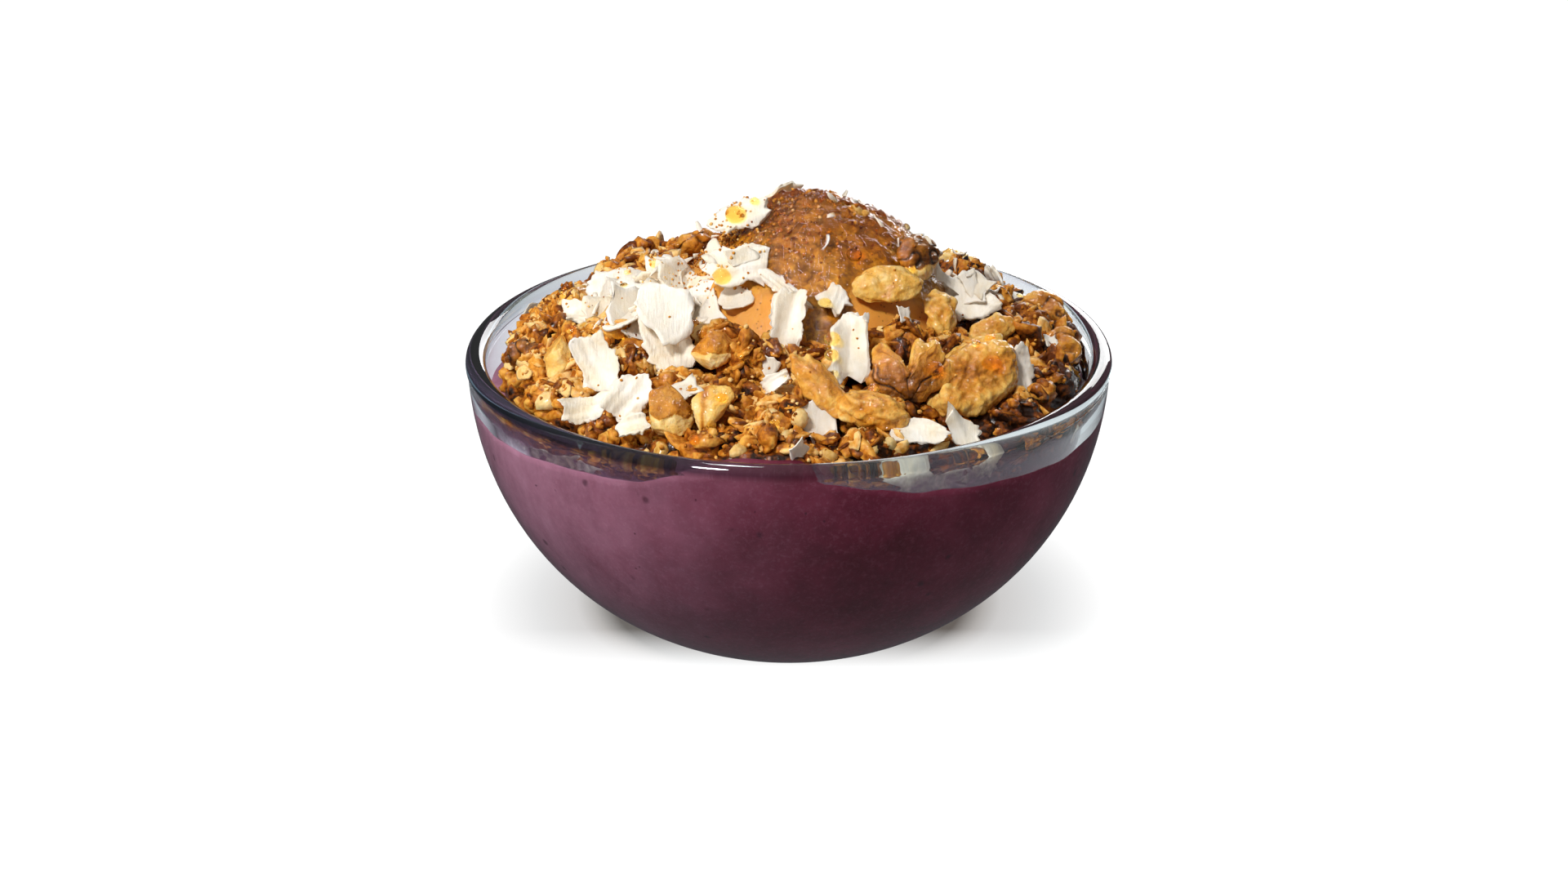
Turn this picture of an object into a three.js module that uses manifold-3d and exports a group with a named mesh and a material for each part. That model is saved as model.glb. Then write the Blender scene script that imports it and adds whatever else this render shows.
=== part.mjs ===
// An acai bowl: a clear glass bowl filled with acai puree, with granola heaped
// on it round a scoop of peanut butter, and walnuts and coconut flakes on top.
// Millimetres, +Z up. The origin is at the middle of the foot's underside.
import * as THREE from "three";
import { mergeVertices } from "three/addons/utils/BufferGeometryUtils.js";
import Module from "manifold-3d";

const wasm = await Module();
wasm.setup();

// The bowl
const RIM_RADIUS = 75;
const BOWL_HEIGHT = 65;
const FOOT_RADIUS = 36;
const RECESS_RADIUS = 28; // the dished underside, inside the foot's flat ring
const RECESS_DEPTH = 1.2;
const WALL = 4;
const BASE_THICKNESS = 5;
const LIP_SWELL = 0.4; // the lip is this much thicker than the wall, on each side
const FULLNESS = 2.1; // exponent of the wall's curve, where 2 would be an ellipse

// What fills it
const GAP = 0.3; // between neighbouring solids
const PUREE_LEVEL = 59;
const PUREE_DOME = 7; // how far the puree rises under the granola
const GRANOLA_EDGE = 61; // the granola's level at the wall
const GRANOLA_RISE = 20;
const MOUND = new THREE.Vector2(6, 2); // the heap peaks a little off centre
const BUTTER_RADIUS = 34;
const BUTTER_TOP = 100.5;
const BUTTER_BED = 75; // the scoop is pressed into the granola down to this level
const BUTTER_BRIM = 79; // where its dome springs from its side
const BUTTER_SWIRL = 0.7;

// What lies on it
const FLAKE_THICKNESS = 0.8;
const FLAKE_NICKS = 0.12; // how deep the ragged edge is, as a share of the half width
const KERNEL_WRINKLE = 0.09; // height of a kernel's folds, as a share of its size
const KERNEL_FLATNESS = 0.35; // how much flatter its inner side is than its outer
const HUMP = 0.8; // height of the granola's humps
const CLIMB_STEP = 0.4; // a piece is raised by this until it clears its neighbours
const CLIMB_LIMIT = 3.2; // past this it is trimmed to them instead

// Facets
const AROUND_BOWL = 32;
const AROUND_BUTTER = 24;

// Walnut pieces: where each lies (x, y), the way its broad side faces (compass
// angle, degrees above level), the turn of its long side from level, its length,
// breadth and depth, and the form of its lobes.
const WALNUTS = {
  walnut_fan: { at: [26, -41], face: [-80, 38], turn: 8, size: [19, 17, 9], lobes: 5, furrow: 0.3 },
  walnut_half: { at: [41, -37], face: [-62, 42], turn: 32, size: [25, 16, 11], lobes: 2, furrow: 0.14 },
  walnut_wing: { at: [41, -28], face: [-70, 52], turn: 20, size: [18, 9, 6], lobes: 3, furrow: 0.2 },
  walnut_chip: { at: [22, -22], face: [-80, 44], turn: 2, size: [17, 11, 5], lobes: 3, furrow: 0.2 },
  walnut_ridge: { at: [7, -50], face: [-90, 40], turn: -42, size: [21, 8, 6], lobes: 2, furrow: 0.3 },
  walnut_knob: { at: [18, -55], face: [-85, 45], turn: -15, size: [15, 10, 9], lobes: 2, furrow: 0.12 },
  walnut_dark: { at: [29, -11], face: [-50, 35], turn: 35, size: [13, 11, 7], lobes: 3, furrow: 0.25 },
  walnut_yellow: { at: [34, -18], face: [-60, 35], turn: 70, size: [13, 9, 7], lobes: 3, furrow: 0.2 },
  walnut_arch: { at: [46, -17], face: [-70, 40], turn: 5, size: [12, 8, 6], lobes: 2, furrow: 0.25 },
  walnut_rim: { at: [60, 13], face: [-100, 48], turn: -20, size: [15, 10, 8], lobes: 3, furrow: 0.2 },
  walnut_side: { at: [63, -8], face: [-100, 40], turn: -60, size: [11, 9, 7], lobes: 3, furrow: 0.2 },
  walnut_cube: { at: [-17, -36], face: [-90, 35], turn: 12, size: [11, 9, 8], lobes: 2, furrow: 0.08 },
  walnut_amber: { at: [-26, -53], face: [-85, 30], turn: 75, size: [15, 10, 8], lobes: 3, furrow: 0.15 },
  walnut_cream: { at: [-17, -54], face: [-95, 28], turn: 80, size: [13, 10, 7], lobes: 2, furrow: 0.22 },
  walnut_lean: { at: [-52, -23], face: [-120, 30], turn: 105, size: [13, 7, 6], lobes: 2, furrow: 0.2 },
  walnut_small: { at: [-61, -12], face: [-120, 50], turn: 20, size: [9, 7, 6], lobes: 3, furrow: 0.3 },
  walnut_back: { at: [41, 40], face: [60, 50], turn: -10, size: [14, 9, 6], lobes: 2, furrow: 0.2 },
  walnut_rear_half: { at: [-4, 46], face: [95, 45], turn: 20, size: [24, 16, 10], lobes: 2, furrow: 0.14 },
  walnut_rear_chip: { at: [18, 50], face: [80, 45], turn: -30, size: [14, 10, 6], lobes: 3, furrow: 0.22 },
  walnut_rear_knob: { at: [-22, 32], face: [120, 45], turn: 40, size: [13, 10, 8], lobes: 3, furrow: 0.16 },
};

// One clump of granola stands above the rim, and has the form of a kernel.
const CLUMP = { at: [-36, 49], face: [-90, 50], turn: 10, size: [14, 10, 10], lobes: 4, furrow: 0.2 };

// Coconut flakes: the same, with length and breadth only. bend is how far one is
// curled along its length and across it, in degrees, and taper narrows one end.
const FLAKES = {
  coconut_tongue: { at: [-42, -33], face: [-100, 32], turn: -62, size: [17, 10], bend: [50, -25], taper: 0.35 },
  coconut_wing: { at: [-44, -43], face: [-100, 50], turn: 22, size: [12, 8], bend: [25, 15], taper: 0.4 },
  coconut_plate: { at: [-35, -46], face: [-88, 38], turn: 50, size: [11, 9], bend: [-20, 20], taper: 0.1 },
  coconut_nib: { at: [-33, -56], face: [-100, 45], turn: 20, size: [8, 6], bend: [30, 0], taper: 0.3 },
  coconut_fold: { at: [-27, -31], face: [-85, 25], turn: -72, size: [18, 12], bend: [25, 85], taper: 0.1 },
  coconut_slip: { at: [-48, -4], face: [-130, 62], turn: 5, size: [11, 7], bend: [-40, 20], taper: 0.2 },
  coconut_leaf: { at: [-38, -9], face: [-115, 58], turn: 12, size: [12, 8], bend: [35, -15], taper: 0.3 },
  coconut_sheet: { at: [-39, 6], face: [-100, 60], turn: 25, size: [15, 10], bend: [-30, 25], taper: 0.2 },
  coconut_spread: { at: [-28, 4], face: [-95, 50], turn: 30, size: [13, 9], bend: [35, 10], taper: 0.4 },
  coconut_flap: { at: [-26, -13], face: [-110, 45], turn: -25, size: [11, 8], bend: [-35, 25], taper: 0.2 },
  coconut_saucer: { at: [-11, -17], face: [-95, 48], turn: 8, size: [15, 11], bend: [-30, -25], taper: 0.15 },
  coconut_crest: { at: [-11, -3], face: [-110, 50], turn: 25, size: [14, 9], bend: [45, 30], taper: 0.3 },
  coconut_strip: { at: [-1, -25], face: [-80, 42], turn: -45, size: [13, 4], bend: [15, 20], taper: 0.3 },
  coconut_scroll: { at: [0, -31], face: [-95, 32], turn: 82, size: [15, 10], bend: [20, 150], taper: 0.1 },
  coconut_chip: { at: [10, -26], face: [-85, 48], turn: 60, size: [7, 6], bend: [15, 0], taper: 0.1 },
  coconut_roll: { at: [13, -38], face: [-75, 30], turn: 78, size: [17, 10], bend: [30, 120], taper: 0.1 },
  coconut_shell: { at: [39, -7], face: [-60, 50], turn: -32, size: [19, 12], bend: [95, 40], taper: 0.35 },
  coconut_fin: { at: [52, -31], face: [-60, 20], turn: 85, size: [11, 6], bend: [20, -20], taper: 0.2 },
  coconut_sail: { at: [37, -54], face: [-80, 15], turn: 115, size: [10, 8], bend: [15, -10], taper: 0.75 },
  coconut_shaving: { at: [28, -59], face: [-85, 50], turn: -6, size: [13, 7], bend: [-35, 20], taper: 0.3 },
  coconut_blade: { at: [9, -57], face: [-95, 32], turn: -65, size: [15, 8], bend: [25, 15], taper: 0.3 },
  coconut_sliver: { at: [-1, -48], face: [-95, 40], turn: 28, size: [11, 4], bend: [-25, 15], taper: 0.4 },
  coconut_rear_roll: { at: [8, 33], face: [85, 40], turn: 60, size: [15, 10], bend: [20, 110], taper: 0.1 },
  coconut_rear_plate: { at: [30, 33], face: [60, 50], turn: -20, size: [14, 11], bend: [25, 20], taper: 0.2 },
  coconut_rear_wing: { at: [-12, 60], face: [100, 50], turn: 15, size: [13, 8], bend: [35, -15], taper: 0.4 },
  coconut_rear_leaf: { at: [-46, 24], face: [150, 55], turn: 30, size: [14, 9], bend: [40, 20], taper: 0.3 },
  coconut_rear_shell: { at: [-4, 20], face: [110, 50], turn: -35, size: [15, 10], bend: [70, 25], taper: 0.3 },
  coconut_rear_fin: { at: [51, 24], face: [30, 40], turn: 70, size: [11, 7], bend: [20, 20], taper: 0.2 },
};

const MATERIALS = {
  glass: { color: 0xdcebea, roughness: 0.03, transparent: true, opacity: 0.35 },
  puree: { color: 0x5f3042, roughness: 0.5 },
  granola: { color: 0xa4672f, roughness: 0.6 },
  butter: { color: 0xb9762f, roughness: 0.3 },
  walnut: { color: 0xc29254, roughness: 0.35 },
  coconut: { color: 0xf1ece6, roughness: 0.6 },
};

const outerRadius = RIM_RADIUS - LIP_SWELL;
const innerRadius = outerRadius - WALL;
const outerDepth = BOWL_HEIGHT / (1 - (FOOT_RADIUS / outerRadius) ** FULLNESS) ** (1 / FULLNESS);
const innerDepth = outerDepth - WALL * 1.1;
const group = new THREE.Group();

function add(name, geometry, finish) {
  geometry.deleteAttribute("uv");
  geometry.computeVertexNormals();
  const mesh = new THREE.Mesh(geometry, new THREE.MeshStandardMaterial(MATERIALS[finish]));
  mesh.name = name;
  group.add(mesh);
}

function steps(count, from, to) {
  return Array.from({ length: count }, (_, i) => from + ((to - from) * i) / (count - 1));
}

// The profile is in x and y, and LatheGeometry turns it about Y. The bowl stands
// along Z.
function lathe(profile, around = AROUND_BOWL) {
  return new THREE.LatheGeometry(profile, around).rotateX(Math.PI / 2);
}

function reshape(geometry, rule) {
  const position = geometry.getAttribute("position");
  const point = new THREE.Vector3();
  for (let i = 0; i < position.count; i++) {
    rule(point.fromBufferAttribute(position, i));
    position.setXYZ(i, point.x, point.y, point.z);
  }
  return geometry;
}

// ---- the glass ----

// The wall's curve: at 0 it is on the axis and at 1 it stands upright at the rim.
function wallPoint(share, radius, depth) {
  const angle = (share * Math.PI) / 2;
  const x = radius * Math.sin(angle) ** (2 / FULLNESS);
  const z = BOWL_HEIGHT - depth * Math.cos(angle) ** (2 / FULLNESS);
  return new THREE.Vector2(x, z);
}

function shareAtHeight(height, depth) {
  return (2 / Math.PI) * Math.acos(((BOWL_HEIGHT - height) / depth) ** (FULLNESS / 2));
}

// The inner wall eases out into the flat floor.
function innerPoint(share) {
  const ease = 1.5;
  const point = wallPoint(share, innerRadius, innerDepth);
  point.y = BASE_THICKNESS + ease * Math.log1p(Math.exp((point.y - BASE_THICKNESS) / ease));
  return point;
}

const lipRadius = WALL / 2 + LIP_SWELL;
const lipCentre = new THREE.Vector2(RIM_RADIUS - lipRadius, BOWL_HEIGHT - lipRadius);
const lipStart = lipCentre.y - lipRadius / 2;
// Shared by the glass and the puree, so that their facets run side by side.
const innerWall = steps(7, 0.3, shareAtHeight(lipStart, innerDepth)).map(innerPoint);

function glassProfile() {
  const footShare = shareAtHeight(0, outerDepth);
  const lipShare = shareAtHeight(lipStart, outerDepth);
  const outerWall = steps(6, footShare, lipShare).map((s) => wallPoint(s, outerRadius, outerDepth));
  const lip = steps(5, 0, Math.PI).map((angle) =>
    new THREE.Vector2(lipRadius * Math.cos(angle), lipRadius * Math.sin(angle)).add(lipCentre),
  );
  return [
    new THREE.Vector2(0, RECESS_DEPTH),
    new THREE.Vector2(RECESS_RADIUS * 0.85, RECESS_DEPTH),
    new THREE.Vector2(RECESS_RADIUS, 0),
    ...outerWall,
    ...lip,
    ...innerWall.toReversed(),
    new THREE.Vector2(0, BASE_THICKNESS),
  ];
}

// ---- the puree, the granola and the peanut butter ----

// Shared by the puree's top and the granola's underside.
const DOME_RINGS = [0.8, 0.45, 0];

// The puree meets the glass along a wavy line.
function pureeEdge(x, y) {
  const angle = Math.atan2(y, x);
  return (
    PUREE_LEVEL +
    0.9 * Math.sin(2 * angle + 0.6) +
    0.6 * Math.sin(5 * angle + 2.1) +
    0.4 * Math.sin(9 * angle + 0.4)
  );
}

function pureeTop(x, y) {
  const reach = Math.min(1, Math.hypot(x, y) / innerRadius) ** 2;
  return pureeEdge(x, y) * reach + (PUREE_LEVEL + PUREE_DOME) * (1 - reach);
}

// The inner wall's radius at a height, along its facets.
function wallRadius(height) {
  const above = innerWall.findIndex((point) => point.y > height);
  const [low, high] = [innerWall[above - 1], innerWall[above]];
  return THREE.MathUtils.mapLinear(height, low.y, high.y, low.x, high.x);
}

function puree() {
  const wall = innerWall
    .filter((point) => point.y < PUREE_LEVEL - 3)
    .map((point) => new THREE.Vector2(point.x - GAP, point.y + GAP));
  const inward = [1, ...DOME_RINGS].map((share) => new THREE.Vector2(innerRadius * share, PUREE_LEVEL));
  const profile = [new THREE.Vector2(0, BASE_THICKNESS + GAP), ...wall, ...inward];
  return reshape(lathe(profile), (point) => {
    if (point.z < PUREE_LEVEL - 0.01) return;
    const inside = (wallRadius(pureeEdge(point.x, point.y)) - GAP) / innerRadius;
    point.z = pureeTop(point.x, point.y);
    point.x *= inside;
    point.y *= inside;
  });
}

// How far it is from the mound's axis to the glass, in the direction of a point.
function moundReach(offset) {
  if (offset.lengthSq() < 1e-9) return innerRadius;
  const along = MOUND.dot(offset) / offset.length();
  return -along + Math.sqrt(along ** 2 - MOUND.lengthSq() + innerRadius ** 2);
}

// The top of the granola, with the humps of its clusters.
function granolaTop(x, y) {
  const offset = new THREE.Vector2(x, y).sub(MOUND);
  const share = Math.min(1, offset.length() / moundReach(offset));
  const humps = Math.sin(x * 0.31 + 1.2) * Math.cos(y * 0.27 - 0.5) + 0.6 * Math.sin(x * 0.5 - y * 0.44);
  return GRANOLA_EDGE + GRANOLA_RISE * (1 - share ** 2.2) ** 1.25 + humps * HUMP;
}

// A filling between two surfaces. Its top leans in towards the mound.
function layer({ radius, centre, rings, under, over, around }) {
  const edge = [new THREE.Vector2(radius, 0), new THREE.Vector2(radius, 1)];
  const bottom = DOME_RINGS.toReversed().map((share) => new THREE.Vector2(radius * share, 0));
  const top = rings.map((share) => new THREE.Vector2(radius * share, 1));
  return reshape(lathe([...bottom, ...edge, ...top], around), (point) => {
    const pull = 1 - Math.hypot(point.x, point.y) / radius;
    const isTop = point.z > 0.5;
    const x = point.x + centre.x + (isTop ? pull * (MOUND.x - centre.x) : 0);
    const y = point.y + centre.y + (isTop ? pull * (MOUND.y - centre.y) : 0);
    point.set(x, y, isTop ? over(x, y) : under(x, y));
  });
}

function butterTop(x, y) {
  const share = Math.min(1, MOUND.distanceTo(new THREE.Vector2(x, y)) / BUTTER_RADIUS);
  const swirl = Math.sin(Math.atan2(y - MOUND.y, x - MOUND.x) * 3 + share * 5) * share * (1 - share);
  return BUTTER_BRIM + (BUTTER_TOP - BUTTER_BRIM) * (1 - share ** 2) ** 1.2 + BUTTER_SWIRL * swirl;
}

// ---- pieces ----

// Repeatable unevenness between -1 and 1.
function uneven(seed, step) {
  return Math.sin(seed * 12.9898 + step * 78.233);
}

// A piece of walnut kernel: a flattened ball whose lobes are parted by furrows.
function kernel({ size, lobes, furrow, seed }, grow) {
  return reshape(new THREE.IcosahedronGeometry(1, 2), (point) => {
    const around = Math.atan2(point.y, point.x);
    const rim = 1 - point.z ** 2;
    const parting = 1 - Math.abs(Math.cos((around * lobes) / 2 + seed));
    const folds =
      Math.sin(point.x * 5 + seed) * Math.sin(point.y * 6 + seed * 2) +
      Math.sin(point.z * 7 + point.x * 4 + seed * 3);
    point.multiplyScalar(1 - furrow * parting ** 2 * rim + KERNEL_WRINKLE * folds);
    if (point.z < 0) point.z *= 1 - KERNEL_FLATNESS;
    point.x *= size[0] / 2 + grow;
    point.y *= size[1] / 2 + grow;
    point.z *= size[2] / 2 + grow;
  });
}

// A shaving of coconut: a thin plate with a ragged outline, bent both ways.
function flake({ size, bend, taper, seed }, grow) {
  const [along, across] = [5, 2];
  const thickness = FLAKE_THICKNESS + 2 * grow;
  const flattest = 1e-3;
  const [curl, trough] = bend.map((angle) => THREE.MathUtils.degToRad(angle) || flattest);
  const curlRadius = size[0] / curl;
  const troughRadius = size[1] / trough;
  return reshape(new THREE.BoxGeometry(2, 2, 1, along, across, 1), (point) => {
    const step = Math.round(((point.x + 1) * along) / 2);
    const side = Math.sign(point.y);
    const narrowing = 1 - taper * ((1 + point.x) / 2) - 0.3 * point.x ** 4;
    const wave = Math.sin(1.9 * step + seed * 2.3 + side);
    const nick = FLAKE_NICKS * (wave + 0.75 * uneven(seed + side * 3, step));
    const halfWidth = (size[1] / 2) * (narrowing + nick) + grow;
    const endNick = 0.06 * size[0] * uneven(seed, point.y) * Math.abs(point.x);
    const halfLength = size[0] / 2 + grow;
    const height = point.z * thickness;
    // Across first, then along.
    const sideAngle = (point.y * halfWidth) / troughRadius;
    const rise = troughRadius - (troughRadius - height) * Math.cos(sideAngle);
    const endAngle = (point.x * halfLength + endNick) / curlRadius;
    point.x = (curlRadius - rise) * Math.sin(endAngle);
    point.y = (troughRadius - height) * Math.sin(sideAngle);
    point.z = curlRadius - (curlRadius - rise) * Math.cos(endAngle);
  });
}

function surfaceAt(x, y) {
  const onButter = MOUND.distanceTo(new THREE.Vector2(x, y)) < BUTTER_RADIUS;
  return onButter ? butterTop(x, y) : granolaTop(x, y);
}

// The piece's own Z points the way its broad side faces.
function facing({ face, turn }) {
  const [compass, above] = face.map(THREE.MathUtils.degToRad);
  const level = new THREE.Vector3(-Math.sin(compass), Math.cos(compass), 0);
  const out = new THREE.Vector3(
    Math.cos(above) * Math.cos(compass),
    Math.cos(above) * Math.sin(compass),
    Math.sin(above),
  );
  const along = level.clone().applyAxisAngle(out, THREE.MathUtils.degToRad(turn));
  return new THREE.Matrix4().makeBasis(along, out.clone().cross(along), out);
}

function toSolid(geometry) {
  const bare = geometry.clone();
  bare.deleteAttribute("normal");
  bare.deleteAttribute("uv");
  const merged = mergeVertices(bare, 1e-4);
  const mesh = new wasm.Mesh({
    numProp: 3,
    vertProperties: new Float32Array(merged.getAttribute("position").array),
    triVerts: new Uint32Array(merged.index.array),
  });
  return new wasm.Manifold(mesh);
}

function toGeometry(solid) {
  const mesh = solid.getMesh();
  const geometry = new THREE.BufferGeometry();
  geometry.setAttribute("position", new THREE.BufferAttribute(new Float32Array(mesh.vertProperties), 3));
  geometry.setIndex(new THREE.BufferAttribute(new Uint32Array(mesh.triVerts), 1));
  return geometry;
}

const settled = []; // every solid that a further piece has to clear

function keep(geometry, marginGeometry) {
  geometry.computeBoundingBox();
  settled.push({
    solid: toSolid(geometry),
    margin: marginGeometry && toSolid(marginGeometry),
    box: geometry.boundingBox,
  });
}

function whatTouches(geometry) {
  geometry.computeBoundingBox();
  const near = settled.filter(({ box }) => box.intersectsBox(geometry.boundingBox));
  if (near.length === 0) return near;
  const solid = toSolid(geometry);
  return near.filter((other) => !solid.intersect(other.solid).isEmpty());
}

function trim(geometry, neighbours) {
  const cut = neighbours.reduce((solid, other) => solid.subtract(other.margin), toSolid(geometry));
  const bodies = cut.decompose();
  return toGeometry(bodies.reduce((largest, body) => (body.volume() > largest.volume() ? body : largest)));
}

// Lets a piece down onto the heap. It starts low on the surface, climbs until it
// clears its neighbours, and is trimmed to any that it still meets.
function settle(name, make, piece, finish) {
  const [x, y] = piece.at;
  const place = facing(piece).setPosition(x, y, surfaceAt(x, y));
  const shape = make(piece, 0).applyMatrix4(place);
  const margin = make(piece, GAP).applyMatrix4(place);
  let climbed = 0;
  let met = whatTouches(margin);
  while (met.length > 0 && climbed < CLIMB_LIMIT) {
    shape.translate(0, 0, CLIMB_STEP);
    margin.translate(0, 0, CLIMB_STEP);
    climbed += CLIMB_STEP;
    met = whatTouches(margin);
  }
  const finished = met.length > 0 ? trim(shape, met) : shape;
  keep(finished, margin);
  add(name, finished, finish);
}

function scoop(grow) {
  return layer({
    radius: BUTTER_RADIUS + grow,
    centre: MOUND,
    rings: [0.93, 0.8, 0.62, 0.42, 0.2, 0],
    under: () => BUTTER_BED - grow,
    over: (x, y) => butterTop(x, y) + grow,
    around: AROUND_BUTTER,
  });
}

function granolaHeap() {
  const heap = layer({
    radius: innerRadius - 2 * GAP,
    centre: new THREE.Vector2(0, 0),
    rings: [0.93, 0.83, 0.7, 0.56, 0.42, 0.25, 0],
    under: (x, y) => pureeTop(x, y) + GAP,
    over: granolaTop,
  });
  return toGeometry(toSolid(heap).subtract(toSolid(scoop(GAP))));
}

const glass = lathe(glassProfile());
const granola = granolaHeap();
const butter = scoop(0);

add("glass_bowl", glass, "glass");
add("acai_puree", puree(), "puree");
add("granola_heap", granola, "granola");
add("peanut_butter", butter, "butter");

keep(glass);
keep(granola, granola.clone().translate(0, 0, GAP));
keep(butter, butter.clone().translate(0, 0, GAP));

Object.entries(WALNUTS).forEach(([name, piece], i) => {
  settle(name, kernel, { ...piece, seed: i + 1 }, "walnut");
});
settle("granola_lump", kernel, { ...CLUMP, seed: 17 }, "granola");
Object.entries(FLAKES).forEach(([name, piece], i) => {
  settle(name, flake, { ...piece, seed: i + 1 }, "coconut");
});

export default group;
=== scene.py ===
import math
import random

import bmesh
import bpy
import numpy as np
from mathutils import Matrix, Vector, noise
from mathutils.bvhtree import BVHTree


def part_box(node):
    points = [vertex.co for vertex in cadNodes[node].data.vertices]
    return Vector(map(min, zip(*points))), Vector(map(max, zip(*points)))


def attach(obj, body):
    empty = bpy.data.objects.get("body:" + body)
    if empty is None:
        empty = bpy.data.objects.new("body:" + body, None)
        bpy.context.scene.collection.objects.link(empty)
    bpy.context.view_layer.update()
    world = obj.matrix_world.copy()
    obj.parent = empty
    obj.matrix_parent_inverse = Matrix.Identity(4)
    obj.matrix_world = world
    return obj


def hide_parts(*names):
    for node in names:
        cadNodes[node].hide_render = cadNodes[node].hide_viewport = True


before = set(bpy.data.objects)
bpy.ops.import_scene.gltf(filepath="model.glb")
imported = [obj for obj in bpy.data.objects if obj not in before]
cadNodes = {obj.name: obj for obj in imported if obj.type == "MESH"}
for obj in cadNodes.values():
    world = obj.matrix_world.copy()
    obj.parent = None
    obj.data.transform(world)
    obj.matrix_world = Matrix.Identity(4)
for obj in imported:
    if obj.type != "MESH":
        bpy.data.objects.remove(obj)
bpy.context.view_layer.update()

# An acai bowl. Lengths in this file are millimetres unless a
# name says otherwise, and mm turns them to Blender's metres.
mm = 0.001
up = Vector((0, 0, 1))
fullTurn = 2 * math.pi


def linear(hexColour):
    # sRGB hex to the linear values that Blender's sockets hold
    channels = [int(hexColour[i:i + 2], 16) / 255 for i in (1, 3, 5)]
    return [c / 12.92 if c <= 0.04045 else ((c + 0.055) / 1.055) ** 2.4 for c in channels] + [1.0]


def addNode(tree, kind, settings):
    # Settings are the node's own properties and its inputs by name or number. A node
    # or a socket as a value is linked to that input, and "stops" are a ramp's colours.
    node = tree.nodes.new("ShaderNode" + kind)
    for key, value in settings.items():
        if key == "stops":
            ramp = node.color_ramp
            while len(ramp.elements) < len(value):
                ramp.elements.new(0.5)
            for element, (place, colour) in zip(ramp.elements, value):
                element.position = place
                element.color = linear(colour)
        elif isinstance(value, bpy.types.Node):
            tree.links.new(value.outputs[0], node.inputs[key])
        elif isinstance(value, bpy.types.NodeSocket):
            tree.links.new(value, node.inputs[key])
        elif isinstance(key, str) and hasattr(node, key):
            setattr(node, key, value)
        else:
            node.inputs[key].default_value = value
    return node


def newMaterial(name):
    # an empty material, its nodes, and the Object coordinates that its patterns follow
    material = bpy.data.materials.new(name)
    material.use_nodes = True
    tree = material.node_tree
    tree.nodes.clear()
    return material, tree, addNode(tree, "TexCoord", {}).outputs["Object"]


def perMm(size):
    # texture scale whose grain is about this many millimetres
    return 1 / (size * mm)


def finishPiece(bm, name, material, replaced=()):
    mesh = bpy.data.meshes.new(name)
    bm.to_mesh(mesh)
    bm.free()
    return finishMesh(mesh, name, material, replaced)


def finishMesh(mesh, name, material, replaced=()):
    mesh.materials.append(material)
    mesh.shade_smooth()
    piece = bpy.data.objects.new(name, mesh)
    bpy.context.scene.collection.objects.link(piece)
    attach(piece, "root")
    if replaced:
        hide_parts(*replaced)
    return piece


def steps(count, first, last):
    return [first + (last - first) * i / (count - 1) for i in range(count)]


def polar(reach, angle, height):
    return Vector((reach * math.cos(angle), reach * math.sin(angle), height))


def lathe(profile, around, weld):
    # a profile of (reach, height) points, spun once round the upright axis
    bm = bmesh.new()
    chain = [bm.verts.new((reach * mm, 0, height * mm)) for reach, height in profile]
    edges = [bm.edges.new(pair) for pair in zip(chain, chain[1:])]
    bmesh.ops.spin(
        bm, geom=chain + edges, axis=up, cent=(0, 0, 0), angle=fullTurn, steps=around, use_merge=True)
    bmesh.ops.remove_doubles(bm, verts=bm.verts[:], dist=weld * mm)
    return bm


def closeSkin(bm):
    # welds the seam and the poles, and turns the faces outward
    bmesh.ops.remove_doubles(bm, verts=bm.verts[:], dist=0.005 * mm)
    bmesh.ops.recalc_face_normals(bm, faces=bm.faces[:])


def skin(around, along, place):
    # A closed turned skin: place gives a point for an angle and a share of the way
    # from its top pole to its bottom pole.
    bm = bmesh.new()
    bmesh.ops.create_grid(bm, x_segments=around, y_segments=along, size=0.5)
    for vertex in bm.verts:
        vertex.co = place((vertex.co.x + 0.5) * fullTurn, vertex.co.y + 0.5) * mm
    closeSkin(bm)
    return bm


def between(pairs, angle):
    # smooth value round a circle from (degrees, value) pairs in rising order
    turn = math.degrees(angle) % 360
    wrapped = [(pairs[-1][0] - 360, pairs[-1][1])] + pairs + [(pairs[0][0] + 360, pairs[0][1])]
    for (low, first), (high, second) in zip(wrapped, wrapped[1:]):
        if low <= turn <= high:
            share = (turn - low) / (high - low)
            share = share * share * (3 - 2 * share)
            return first + (second - first) * share
    return pairs[0][1]


def grain(point, size, seed=0.0, octaves=1):
    # repeatable noise of about -1 to 1 whose bumps are size millimetres wide
    place = Vector(point) / size + Vector((seed * 7.3, seed * 3.1, seed * 5.7))
    if octaves == 1:
        return noise.noise(place) * 1.4
    return noise.fractal(place, 1.0, 2.0, octaves) * 1.2


def ringGrain(angle, size):
    # the same round a ring, without a seam where it closes
    return grain((math.cos(angle) * 9, math.sin(angle) * 9, 0), size)


def bell(value, width):
    # 1 at nought, falling off on both sides
    return math.exp(-(value / width) ** 2)


def clamp(value):
    return max(0, min(1, value))


def randomWay(dice):
    return Vector([dice.gauss(0, 1) for _ in range(3)])


def setTint(bm, values):
    # the shade of each point, which materials read as the attribute "tint"
    layer = bm.verts.layers.float.new("tint")
    for vertex, value in zip(bm.verts, values):
        vertex[layer] = value


def treeOf(objects):
    points = []
    faces = []
    for piece in objects:
        start = len(points)
        points += [vertex.co / mm for vertex in piece.data.vertices]
        faces += [[start + i for i in face.vertices] for face in piece.data.polygons]
    return BVHTree.FromPolygons(points, faces)


cameraSetup = {
    "elevation": 22.5,  # degrees above level
    "distance": 780,
    "aim": Vector((-1.1, 0.0, 40.36)),
    "lens": 76.07,
    "sensorWidth": 36,
    "frameWidth": 1920,
    "frameHeight": 1080,
}


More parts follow.
